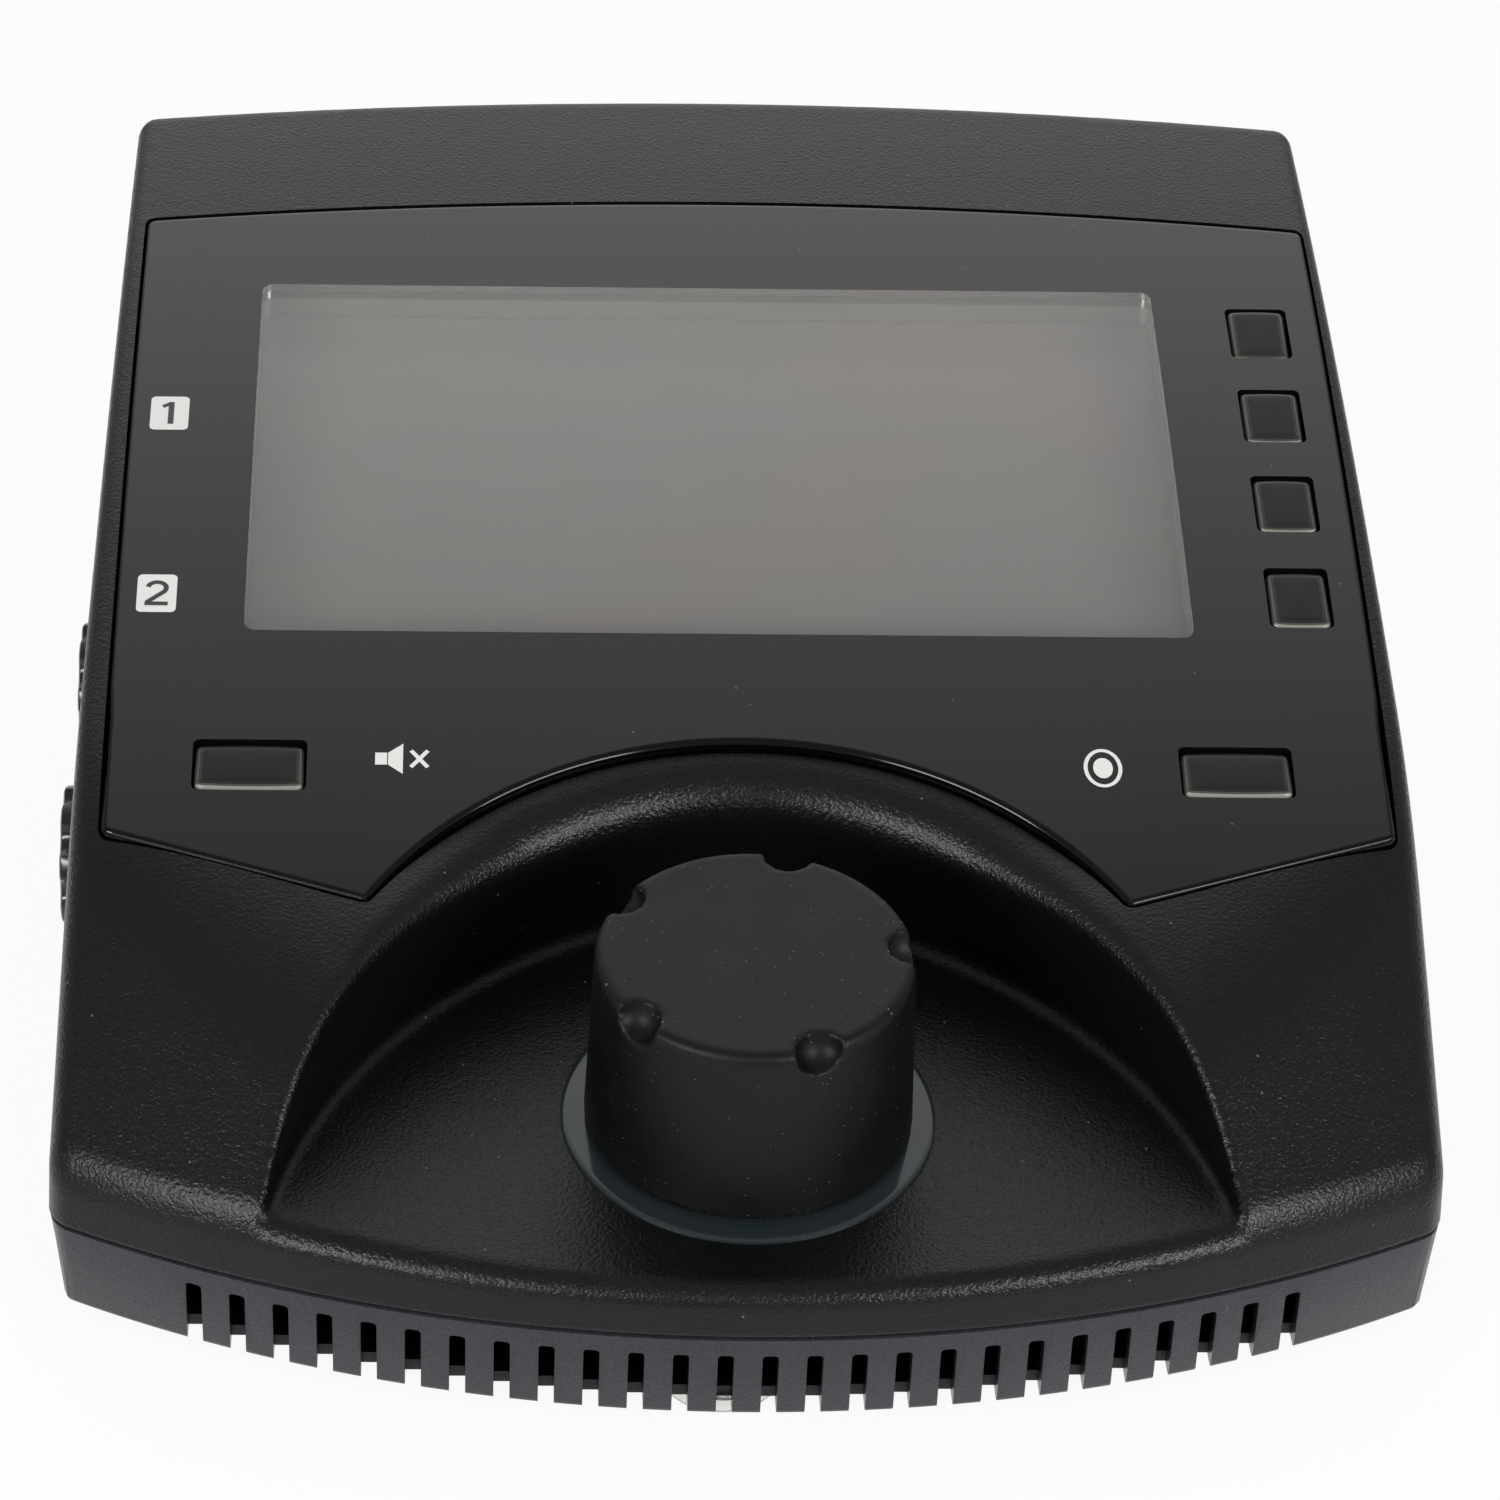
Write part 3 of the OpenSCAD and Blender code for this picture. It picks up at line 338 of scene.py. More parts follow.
def trim_below(obj, z, steps):
    """Cuts obj level at z and steps its open edge inwards by (inset, height) in millimetres, then closes it."""
    bm = bmesh.new()
    bm.from_mesh(obj.data)
    bmesh.ops.bisect_plane(bm, geom=bm.verts[:] + bm.edges[:] + bm.faces[:], plane_co=(0, 0, 0.001 * z),
                           plane_no=(0, 0, 1), clear_inner=True)
    edge = [e for e in bm.edges if e.is_boundary]
    for inset, level in steps:
        made = bmesh.ops.extrude_edge_only(bm, edges=edge)["geom"]
        edge = [g for g in made if isinstance(g, bmesh.types.BMEdge) and g.is_boundary]
        for v in {v for e in edge for v in e.verts}:
            x, y = 1000 * v.co.x, 1000 * v.co.y
            gx = plan_field(np.array([x + 0.01]), y)[0] - plan_field(np.array([x - 0.01]), y)[0]
            gy = plan_field(x, np.array([y + 0.01]))[0] - plan_field(x, np.array([y - 0.01]))[0]
            size = math.hypot(gx, gy)
            v.co = (0.001 * (x - inset * gx / size), 0.001 * (y - inset * gy / size), 0.001 * level)
    bmesh.ops.contextual_create(bm, geom=edge)
    bmesh.ops.recalc_face_normals(bm, faces=bm.faces)
    bm.to_mesh(obj.data)
    bm.free()


def in_panel(x, t, n):
    """A point of the panel's own frame, x across, t up the slope and n out of it, as a point of the part."""
    c, s = math.cos(panel_tilt), math.sin(panel_tilt)
    return (x, window_y + t * c - n * s, window_z + t * s + n * c)


# The case is blacker than the tray and has a deeper grain, which glitters along the scoop's rim and the nose.
case_abs = grained_abs("grained_black_abs_case", "#060707", "#0d0e0f", 0.38, 0.7)
case_grid, grid_low, grid_high = 0.65, (-71, -86, part_z - 3), (71, 86, 74)
case = piece("top_case_moulding", *skin(case_field, grid_low, grid_high, case_grid), case_abs, 60)
trim_below(case, part_z + 0.25, [(0.06, part_z + 0.12), (0.22, part_z + 0.03), (2.0, part_z + 0.03)])

panel_half, panel_side, panel_top, panel_top_r = 64.6, 0.4, 44.6, 470.0
panel_low, point_x, point_low = 55.2, 37.1, 63.9
arch_r, arch_top, panel_gap, panel_t = 44.5, 43.1, 0.3, 2.0
panel_corner_r, arch_corner_r = 0.8, 0.5


def panel_field(x, t):
    """Distance outside the panel's outline, in the panel's frame."""
    top = np.hypot(x, t - panel_top + panel_top_r) - panel_top_r
    run, drop = panel_half - point_x, point_low - panel_low
    slant = -((t + panel_low) * run + (panel_half - np.abs(x)) * drop) / math.hypot(run, drop)
    arch = arch_r - np.hypot(x, t + arch_top + arch_r)
    plate = round_both(np.abs(x - panel_side) - panel_half, top, panel_corner_r)
    return round_both(round_both(plate, slant, panel_corner_r), arch, arch_corner_r)


def crown_n(t):
    return math.sqrt(crown_r ** 2 - t * t) - crown_r


def block(left, right, low, high):
    return [(left, low), (right, low), (right, high), (left, high)]


panel_count, panel_middle, pocket = 900, (0.0, 10.0), (-8.8, 8.0)
recess = ring(panel_field, panel_middle, panel_gap, panel_count)
cuts = [loft([[in_panel(x, t, n) for x, t in recess] for n in pocket])]
left_from, rear_from, right_from, wall_run = -75, 76, 60, 12
sleeve_hole_r, phones_x, phones_z, phones_hole_r = 4.8, 2.0, 17.4, 3.2
inputs = [(19.8, 25.2), (-7.5, 20.2)]
outputs_x, output_z = (26.0, 48.0), 19.9
for y, z in inputs:
    cuts.append(prism(disc(sleeve_hole_r), lambda u, v, e, y=y, z=z: (left_from + wall_run * e, y + u, z + v)))
for x, z, r in [(x, output_z, sleeve_hole_r) for x in outputs_x] + [(phones_x, phones_z, phones_hole_r)]:
    cuts.append(prism(disc(r), lambda u, v, e, x=x, z=z: (x + u, rear_from + wall_run * e, z + v)))
socket_low, socket_from, socket_run = 11.9, 60, 28
for x, half, high in ((-22.0, 8.2, 26.6), (-48.0, 4.7, 24.1)):  # network jack, power inlet
    cuts.append(prism(block(x - half, x + half, socket_low, high),
                      lambda u, v, e: (u, socket_from + socket_run * e, v)))
card_y, card_z = (-2.2, 22.2), (13.5, 16.1)
cuts.append(prism(block(*card_y, *card_z), lambda u, v, e: (right_from + wall_run * e, u, v)))
cut_away(case, cuts, 40)
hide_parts("top_case")
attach(case, "case")

# Display: a liquid crystal cell in a pressed tin-plated frame with a white light guide behind, switched off.
# It lies on the panel board, and the frame's upturned rim meets the window, where it shows as a pale border.
# The boards, switches and jacks inside the case keep their own forms and get their finishes here.

# The polariser is a satin grey film, and the cell behind it gives a faint drift from warm to green.
lcd_glass, lcd_tree, lcd_shader = start_material("polarised_display_glass", {"Roughness": 0.34, "IOR": 1.5})
lcd_place = node(lcd_tree, "ShaderNodeTexCoord").outputs["Generated"]
lcd_sheen = node(lcd_tree, "ShaderNodeTexNoise", {"Scale": 2.2, "Detail": 1.0, "Distortion": 0.6},
                 {"Vector": lcd_place})
lcd_ramp = node(lcd_tree, "ShaderNodeValToRGB", {}, {"Fac": lcd_sheen.outputs["Fac"]})
for stop, at, colour in zip(lcd_ramp.color_ramp.elements, (0.35, 0.65), ("#5a5453", "#545855")):
    stop.position, stop.color = at, linear(colour)
lcd_tree.links.new(lcd_ramp.outputs["Color"], lcd_shader.inputs["Base Color"])


def plain_finish(name, colour, settings, blotch_mm, spread):
    """A finish of one colour with a soft change of gloss over blotches of the given size."""
    made, tree, shader = start_material(name, dict(settings, **{"Base Color": linear(colour)}))
    noise = node(tree, "ShaderNodeTexNoise", {"Scale": 1000 / blotch_mm, "Detail": 3.0},
                 {"Vector": node(tree, "ShaderNodeTexCoord").outputs["Object"]})
    rough = settings["Roughness"]
    span = node(tree, "ShaderNodeMapRange", {"To Min": rough - spread, "To Max": rough + spread},
                {"Value": noise.outputs["Fac"]})
    tree.links.new(span.outputs["Result"], shader.inputs["Roughness"])
    return made


# Rolled and tinned steel: dull grey on the frame, brighter on screws and shields.
satin_tin = plain_finish("satin_tinned_steel", "#9a9a97", {"Metallic": 1.0, "Roughness": 0.5}, 4, 0.06)
tin_steel = plain_finish("tin_plated_steel", "#b9b9b6", {"Metallic": 1.0, "Roughness": 0.34}, 3, 0.08)
# Moulded acrylic with a milky back: an even dull white.
white_guide = plain_finish("white_light_guide", "#e6e6e2", {"Roughness": 0.55, "IOR": 1.49}, 6, 0.05)
# Lacquer over copper: dark green with a wet shine.
green_mask = plain_finish("green_solder_mask", "#123f24", {"Roughness": 0.32, "IOR": 1.55}, 2, 0.08)
# Moulded nylon: waxy and half dull, and greyer where glass fibre fills it.
ivory_nylon = plain_finish("ivory_nylon", "#c8c2b2", {"Roughness": 0.5, "IOR": 1.53}, 2, 0.06)
black_nylon = plain_finish("black_glass_filled_nylon", "#1a1a1c", {"Roughness": 0.42, "IOR": 1.53}, 1.5, 0.08)
# Plated and turned metal: bright, with a slight change of shine from handling.
nickel = plain_finish("nickel_plated_shell", "#c4c2bc", {"Metallic": 1.0, "Roughness": 0.28}, 2.5, 0.08)
turned_brass = plain_finish("turned_brass", "#c2a35b", {"Metallic": 1.0, "Roughness": 0.3}, 1.5, 0.06)
# Extruded soft plastic: light grey and half dull.
grey_pvc = plain_finish("grey_pvc_ribbon", "#bdbdb8", {"Roughness": 0.5, "IOR": 1.53}, 3, 0.06)
carried = {
    "display_cell": lcd_glass, "display_backlight": white_guide,
    "panel_board": green_mask, "main_board": green_mask, "key_switches": ivory_nylon, "encoder_plunger": ivory_nylon,
    "panel_board_screws": tin_steel, "main_board_screws": tin_steel, "case_screws": tin_steel,
    "encoder_shaft": tin_steel, "encoder_bushing": turned_brass, "encoder_nut": nickel, "encoder_washer": nickel,
    "encoder_body": black_nylon, "input_jack_1": black_nylon, "input_jack_2": black_nylon,
    "output_jack_left": black_nylon, "output_jack_right": black_nylon, "phones_jack": black_nylon,
    "power_inlet": black_nylon, "network_jack": nickel, "card_socket": tin_steel, "ribbon_cable": grey_pvc}
for name, finish in carried.items():
    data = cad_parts[name].data
    data.materials.clear()
    data.materials.append(finish)

window_left, window_w, window_h, window_corner_r = 2.0, 98.0, 56.2, 1.2


def rounded_box(x, t, half_w, half_h, r, steps=6):
    """Corner points of a rectangle with rounded corners."""
    points = []
    for sx, sy, start in ((1, 1, 0), (-1, 1, 90), (-1, -1, 180), (1, -1, 270)):
        for i in range(steps + 1):
            a = math.radians(start + 90 * i / steps)
            points.append((x + sx * (half_w - r) + r * math.cos(a), t + sy * (half_h - r) + r * math.sin(a)))
    return points


bezel_corner_r = 1.0
bezel_rings = [  # half width, half height and depth under the panel's face, once round the pressing's section
    (49.1, 28.2, -6.45), (49.1, 28.2, -2.85), (49.9, 29.0, -2.85), (49.9, 29.0, -6.0), (52.75, 33.6, -6.0),
    (52.75, 33.6, -8.58), (52.25, 33.1, -8.58), (52.25, 33.1, -6.5), (49.1, 28.2, -6.45)]
bezel = piece("display_bezel", *loft([
    [in_panel(x, t, n) for x, t in rounded_box(-window_left, 0, w, h, bezel_corner_r)]
    for w, h, n in bezel_rings], ends=False), satin_tin)
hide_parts("display_frame")
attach(bezel, "case")

# Front panel: a 2 mm clear acrylic sheet, black on its back, laid flush in the case with a narrow gap all round.
# Its lower edges are rounded and polished, so they run dark with a thin bright line where they catch the lamps.
# Seen through the sheet the black is deep and glossy, hardly waved, with a little lint.
wave_mm, lint_mm, lint_reach = 30, 4.5, 0.03
gloss_acrylic, gloss_tree, gloss_shader = start_material("black_backed_acrylic", {"IOR": 1.49})
gloss_place = node(gloss_tree, "ShaderNodeTexCoord").outputs["Object"]
wave = node(gloss_tree, "ShaderNodeTexNoise", {"Scale": 1000 / wave_mm, "Detail": 1.0}, {"Vector": gloss_place})
lint = node(gloss_tree, "ShaderNodeTexVoronoi", {"Scale": 1000 / lint_mm, "Randomness": 1.0}, {"Vector": gloss_place})
fleck = node(gloss_tree, "ShaderNodeMath", {"operation": "LESS_THAN", 1: lint_reach}, {0: lint.outputs["Distance"]})
lint_mix = node(gloss_tree, "ShaderNodeMix", {"data_type": "RGBA", 6: linear("#08090a"), 7: linear("#4c4c4a")},
                {0: fleck.outputs[0]})
gloss_rough = node(gloss_tree, "ShaderNodeMapRange", {"To Min": 0.1, "To Max": 0.16}, {"Value": wave.outputs["Fac"]})
gloss_tree.links.new(lint_mix.outputs[2], gloss_shader.inputs["Base Color"])
gloss_tree.links.new(gloss_rough.outputs["Result"], gloss_shader.inputs["Roughness"])
# The polished edge looks into the sheet, so it is darker than the face.
edge_acrylic = plain_finish("polished_acrylic_edge", "#040405", {
    "Roughness": 0.12, "IOR": 1.49, "Specular IOR Level": 0.25}, 2, 0.02)

soft_keys = [(58.3, 20.8 - 14.3 * i) for i in range(4)]
wide_keys = [(-49.7, -46.6), (49.7, -46.6)]
key_boxes = [(x, t, 3.0, 4.05) for x, t in soft_keys] + [(x, t, 5.4, 3.0) for x, t in wide_keys]
key_gap, key_hole_r, hole_run = 0.35, 0.7, (-4.0, 2.0)
slice_mm, slice_reach = 4.0, 70


def bend_to_crown(obj):
    """Slices a piece that was made flat in the panel's frame across the slope and lays it on the crowned top."""
    bm = bmesh.new()
    bm.from_mesh(obj.data)
    bmesh.ops.triangulate(bm, faces=[f for f in bm.faces if len(f.verts) > 4])
    for k in range(int(-slice_reach / slice_mm), int(slice_reach / slice_mm) + 1):
        bmesh.ops.bisect_plane(bm, geom=bm.verts[:] + bm.edges[:] + bm.faces[:],
                               plane_co=(0, 0.001 * k * slice_mm, 0), plane_no=(0, 1, 0))
    for v in bm.verts:
        x, t, n = (1000 * c for c in v.co)
        v.co = [0.001 * c for c in in_panel(x, t, crown_n(t) + n)]
    bm.to_mesh(obj.data)
    bm.free()


edge_r, upper_share, edge_from, edge_run = 0.75, 0.35, -36, 6
edge_rings = [(0.0, -panel_t, -panel_t)]
for turn in (86, 78, 70, 62, 54, 46, 38, 30, 22, 14, 5):
    deep = -edge_r * (1 - math.cos(math.radians(turn)))
    edge_rings.append((edge_r * (1 - math.sin(math.radians(turn))), upper_share * deep, deep))


def sheet_ring(inset, upper, lower):
    """One ring of the sheet, at the height upper along its top and sides and at lower round the arch."""
    return [(x, t, upper + (lower - upper) * ease((edge_from - t) / edge_run))
            for x, t in ring(panel_field, panel_middle, -inset, panel_count)]


panel = piece("front_panel_sheet", *loft([sheet_ring(*r) for r in edge_rings]), gloss_acrylic)
panel.data.materials.append(edge_acrylic)
holes = [rounded_box(x, t, w + key_gap, h + key_gap, key_hole_r) for x, t, w, h in key_boxes]
holes.append(rounded_box(-window_left, 0, window_w / 2, window_h / 2, window_corner_r))
cut_away(panel, [loft([[(x, t, n) for x, t in h] for n in hole_run]) for h in holes], 2)
edge_lean, edge_band = 0.97, 0.6
for f in panel.data.polygons:
    outside = panel_field(np.array([1000 * f.center.x]), 1000 * f.center.y)[0]
    if f.normal.z < edge_lean and outside > -edge_band:
        f.material_index = 1
bend_to_crown(panel)
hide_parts("front_panel")
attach(panel, "case")

# Display window: the part of the same acrylic sheet that is left clear over the display.
# It is water-clear with faint smears of gloss, and lets the lamps through to the display.
smear_mm, pane_gap = 25, 0.02
clear_acrylic, window_tree, window_shader = start_material("clear_acrylic", {
    "Base Color": linear("#f4f4f2"), "IOR": 1.49, "Transmission Weight": 1.0})
smear = node(window_tree, "ShaderNodeTexNoise", {"Scale": 1000 / smear_mm, "Detail": 2.0},
             {"Vector": node(window_tree, "ShaderNodeTexCoord").outputs["Object"]})
smear_range = node(window_tree, "ShaderNodeMapRange", {"To Min": 0.02, "To Max": 0.06},
                   {"Value": smear.outputs["Fac"]})
window_tree.links.new(smear_range.outputs["Result"], window_shader.inputs["Roughness"])
lamp_ray = node(window_tree, "ShaderNodeLightPath").outputs["Is Shadow Ray"]
let_by = node(window_tree, "ShaderNodeBsdfTransparent", {"Color": linear("#f0f0ee")})
window_mix = node(window_tree, "ShaderNodeMixShader", {},
                  {0: lamp_ray, 1: window_shader.outputs[0], 2: let_by.outputs[0]})
window_tree.links.new(window_mix.outputs[0], window_tree.nodes["Material Output"].inputs["Surface"])
pane = rounded_box(-window_left, 0, window_w / 2 - pane_gap, window_h / 2 - pane_gap, window_corner_r)
window = piece("display_window_pane", *loft([[(x, t, n) for x, t in pane] for n in (-panel_t, 0.0)]), clear_acrylic)
bend_to_crown(window)
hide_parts("display_window")
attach(window, "case")

# Printed marks: screen print on the panel. A numbered square beside each input jack, a crossed speaker
# beside the mute key and a filled dot in a ring beside the record key.
# The ink is a thin even film, duller than the acrylic it lies on.
white_ink = plain_finish("white_screen_ink", "#dededb", {"Roughness": 0.45, "IOR": 1.5}, 1.5, 0.06)
dark_ink = plain_finish("dark_screen_ink", "#2c2d2f", {"Roughness": 0.4, "IOR": 1.5}, 1.5, 0.06)
ink_n = 0.03


def print_mark(name, shapes, ink, height=ink_n):
    """Flat printed shapes, each a list of (x, t), laid on the panel."""
    parts = [([in_panel(x, t, crown_n(t) + height) for x, t in s], [tuple(range(len(s)))]) for s in shapes]
    obj = piece(name, *join(parts), ink)
    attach(obj, "case")


def band(path, half):
    """A stroke of even width along a path, as one closed shape."""
    left, right = [], []
    for i, p in enumerate(path):
        a, b = Vector(path[max(i - 1, 0)]), Vector(path[min(i + 1, len(path) - 1)])
        d = (b - a).normalized()
        left.append((p[0] - d.y * half, p[1] + d.x * half))
        right.append((p[0] + d.y * half, p[1] - d.x * half))
    return left + right[::-1]


def arc(t, rx, ry, start, end, steps=14):
    """Points along an ellipse whose middle is t above the mark's own middle."""
    turns = [math.radians(a) for a in np.linspace(start, end, steps)]
    return [(rx * math.cos(a), t + ry * math.sin(a)) for a in turns]


def placed(x, t, shapes):
    """Shapes drawn round their own middle, moved to (x, t)."""
    return [[(x + u, t + v) for u, v in s] for s in shapes]


label_x, label_t = -60.1, (5.2, -22.9)
label_half_w, label_half_h, label_r = 2.05, 2.75, 0.55
squares = [rounded_box(label_x, t, label_half_w, label_half_h, label_r) for t in label_t]
print_mark("input_squares", squares, white_ink)
one = [band([(-0.75, 1.05), (0.15, 1.62)], 0.24), band([(0.15, 1.8), (0.15, -1.8)], 0.3)]
two = [band(arc(0.75, 0.95, 0.85, 170, -38) + [(-0.98, -1.35)], 0.26), band([(-1.2, -1.52), (1.2, -1.52)], 0.27)]
print_mark("input_digits", placed(label_x, label_t[0], one) + placed(label_x, label_t[1], two), dark_ink, 2 * ink_n)
cross_half = 0.22
speaker = [block(-2.4, -1.2, -0.8, 0.8), [(-1.1, -0.8), (0.4, -2.0), (0.4, 2.0), (-1.1, 0.8)],
           band([(1.2, -1.1), (2.9, 1.1)], cross_half), band([(1.2, 1.1), (2.9, -1.1)], cross_half)]
print_mark("mute_sign", placed(-34.7, -45.7, speaker), white_ink)
dot = [arc(0, 1.0, 1.35, 0, 345, 24), band(arc(0, 1.75, 2.35, 0, 360, 40), 0.2)]
print_mark("record_sign", placed(36.2, -46.2, dot), white_ink)

# Keys: four square and two wide caps in smoky translucent acrylic, each with a flange under the shelf.
# The caps stand a little below the panel's face. The smoke is nearly black in the middle.
# The rows round the rounded polished edge are coloured paler as painted highlight, for the light that the edge
# catches, and the front lip is coloured brighter still as painted glints.
smoke_mm = 0.5
smoky_acrylic, smoky_tree, smoky_shader = start_material("smoky_acrylic_cap", {
    "Base Color": linear("#060605"), "IOR": 1.49, "Specular IOR Level": 0.24})
smoky_noise = node(smoky_tree, "ShaderNodeTexNoise", {"Scale": 1000 / smoke_mm, "Detail": 2.0},
                   {"Vector": node(smoky_tree, "ShaderNodeTexCoord").outputs["Object"]})
smoky_range = node(smoky_tree, "ShaderNodeMapRange", {"To Min": 0.12, "To Max": 0.26},
                   {"Value": smoky_noise.outputs["Fac"]})
smoky_tree.links.new(smoky_range.outputs["Result"], smoky_shader.inputs["Roughness"])
# Painted highlight: a paler colour on the cap's rounded edge, shading back to the smoke, and a bright colour on its
# front lip for painted glints.
painted_edge_light = plain_finish("cap_edge_painted_highlight", "#45453f", {"Roughness": 0.18, "IOR": 1.49}, 0.6, 0.1)
half_painted_edge_light = plain_finish("cap_border_painted_highlight", "#21211e", {
    "Roughness": 0.2, "IOR": 1.49, "Specular IOR Level": 0.3}, 0.6, 0.1)
painted_lip_glint = plain_finish("cap_lip_painted_glint", "#8a8a84", {"Roughness": 0.14, "IOR": 1.49}, 0.4, 0.13)
cap_over, cap_short, cap_bulge, cap_corner_r = 0.12, 0.02, 0.2, 0.6
cap_sunk, cap_deep, flange_out, flange_t, cap_count = 0.12, 4.4, 1.1, 0.9, 72
cap_edge = [  # inset and height from the cap's face
    (0.0, -0.7), (0.08, -0.32), (0.28, -0.12), (0.5, -0.03), (0.8, 0.0), (1.2, 0.02), (1.8, 0.04)]
edge_first, lip_last, edge_last, lip_depth = 3, 4, 6, 0.3  # rows of faces, and how far back the lip reaches


def cap_field(u, v, w, h):
    """Distance outside a cap's outline: a rectangle whose front and back edges bulge a little."""
    bulge = cap_bulge * (1 - (u / w) ** 2)
    return round_both(np.abs(u) - w - cap_over, np.abs(v) - h + cap_short - bulge, cap_corner_r)


cap_names = ["soft_key_1", "soft_key_2", "soft_key_3", "soft_key_4", "mute_key", "record_key"]
for name, (x, t, w, h) in zip(cap_names, key_boxes):
    face = crown_n(t) - cap_sunk
    foot = crown_n(abs(t) + h) - cap_deep - flange_t
    rings = [(-flange_out, foot), (-flange_out, foot + flange_t), (0.0, foot + flange_t)]
    rings += [(inset, face + n) for inset, n in cap_edge]
    outlines = [[in_panel(x + u, t + v, n)
                 for u, v in ring(lambda u, v: cap_field(u, v, w, h), (0.0, 0.0), -inset, cap_count)]
                for inset, n in rings]
    cap = piece(name + "_cap", *loft(outlines), smoky_acrylic, 50)
    for finish in (painted_edge_light, half_painted_edge_light, painted_lip_glint):
        cap.data.materials.append(finish)
    # Painted light: the edge rows get the paler painted highlight and the front lip the bright painted glints.
    for i, f in enumerate(cap.data.polygons):
        row, front = i // cap_count, to_panel(1000 * f.center.y, 1000 * f.center.z) < t - h + lip_depth
        if edge_first <= row <= edge_last:
            f.material_index = 3 if front and row <= lip_last else 1 if row < edge_last else 2
    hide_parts(name)
    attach(cap, name)

# Knob: moulded in soft black rubber over a hub, slightly tapered, with five finger dimples round the top edge.
# It is pressed onto the encoder's shaft, square to the scoop's floor.
knob_out = 25.0
knob_y, knob_z = front_y + knob_out, lip_z + knob_out * math.tan(floor_tilt)
knob_h, knob_top_r, knob_foot_r, knob_under, knob_edge_r = 21.0, 15.4, 16.1, 1.1, 1.0
dimples, dimple_turn, dimple_out, dimple_down = 5, math.radians(4), 15.2, 0.35
dimple_r, dimple_edge_r = 2.45, 0.2


def on_knob(p):
    """Points of the knob's own frame, z along its axis from the scoop's floor, as points of the part."""
    c, s = math.cos(floor_tilt), math.sin(floor_tilt)
    x, y, z = np.asarray(p, float).T
    return np.stack([x, knob_y + y * c - z * s, knob_z + y * s + z * c], 1)


def knob_field(x, y, z):
    """Distance outside the knob: a tapered drum with a rounded top edge, less five round dimples."""
    lean = (knob_foot_r - knob_top_r) / (knob_h - knob_under)
    drum = (np.hypot(x, y) - knob_top_r - (knob_h - z) * lean) / math.hypot(1, lean)
    solid = round_both(drum, z - knob_h, knob_edge_r)
    for i in range(dimples):
        a = dimple_turn + i * 2 * np.pi / dimples
        u, v, w = x - dimple_out * np.cos(a), y - dimple_out * np.sin(a), z - knob_h + dimple_down
        solid = round_both(solid, dimple_r - np.sqrt(u ** 2 + v ** 2 + w ** 2), dimple_edge_r)
    return np.maximum(solid, knob_under - z)


# Soft-touch rubber is dull, deep black and slightly cloudy. Pale specks stand for fine dust on it,
# and their crowding along the rounded top edge, thinner on the flat top, is painted glint where that edge catches the
# light.
# The specks are drawn coarser than real dust, so that they show in the render.
grit_mm, cloud_mm, speck_mm = 0.3, 6, 1.1
speck_side, rim_dust_and_glint, speck_less = 0.06, 0.13, 0.065
soft_rubber, rubber_tree, rubber_shader = start_material("soft_touch_rubber", {
    "IOR": 1.52, "Specular IOR Level": 0.25})
rubber_place = node(rubber_tree, "ShaderNodeTexCoord").outputs["Object"]
rubber_grain = node(rubber_tree, "ShaderNodeTexNoise", {"Scale": 1000 / grit_mm, "Detail": 3.0},
                    {"Vector": rubber_place})
rubber_cloud = node(rubber_tree, "ShaderNodeTexNoise", {"Scale": 1000 / cloud_mm, "Detail": 4.0},
                    {"Vector": rubber_place})
rubber_ramp = node(rubber_tree, "ShaderNodeValToRGB", {}, {"Fac": rubber_cloud.outputs["Fac"]})
for stop, at, colour in zip(rubber_ramp.color_ramp.elements, (0.3, 0.7), ("#040404", "#090909")):
    stop.position, stop.color = at, linear(colour)
rubber_dots = node(rubber_tree, "ShaderNodeTexVoronoi", {"Scale": 1000 / speck_mm, "Randomness": 1.0},
                   {"Vector": rubber_place})
knob_axis = (0.0, -math.sin(floor_tilt), math.cos(floor_tilt))
top_at = 0.001 * (knob_h - knob_y * math.sin(floor_tilt) + knob_z * math.cos(floor_tilt))
rubber_up = node(rubber_tree, "ShaderNodeVectorMath", {"operation": "DOT_PRODUCT", 1: knob_axis}, {0: rubber_place})
# Dust and painted glint: the specks crowd on the rounded top edge, where it catches the light, and thin out on the
# flat top.
rubber_rim_dust_and_glint = node(rubber_tree, "ShaderNodeMapRange", {
    "From Min": top_at - 0.0011, "From Max": top_at - 0.0002, "To Min": speck_side, "To Max": rim_dust_and_glint},
    {"Value": rubber_up.outputs["Value"]})
rubber_top = node(rubber_tree, "ShaderNodeMapRange", {
    "From Min": top_at - 0.00012, "From Max": top_at - 0.00004, "To Min": 0.0, "To Max": speck_less},
    {"Value": rubber_up.outputs["Value"]})
rubber_reach = node(rubber_tree, "ShaderNodeMath", {"operation": "SUBTRACT"},
                    {0: rubber_rim_dust_and_glint.outputs["Result"], 1: rubber_top.outputs["Result"]})
rubber_speck = node(rubber_tree, "ShaderNodeMath", {"operation": "LESS_THAN"},
                    {0: rubber_dots.outputs["Distance"], 1: rubber_reach.outputs[0]})
rubber_dust_and_glint = node(rubber_tree, "ShaderNodeMix", {"data_type": "RGBA", 7: linear("#5c5c57")},
                   {0: rubber_speck.outputs[0], 6: rubber_ramp.outputs["Color"]})
rubber_bump = node(rubber_tree, "ShaderNodeBump", {"Strength": 0.25, "Distance": 0.00008},
                   {"Height": rubber_grain.outputs["Fac"]})
rubber_rough = node(rubber_tree, "ShaderNodeMapRange", {"To Min": 0.42, "To Max": 0.56},
                    {"Value": rubber_cloud.outputs["Fac"]})
rubber_tree.links.new(rubber_dust_and_glint.outputs[2], rubber_shader.inputs["Base Color"])
rubber_tree.links.new(rubber_bump.outputs["Normal"], rubber_shader.inputs["Normal"])
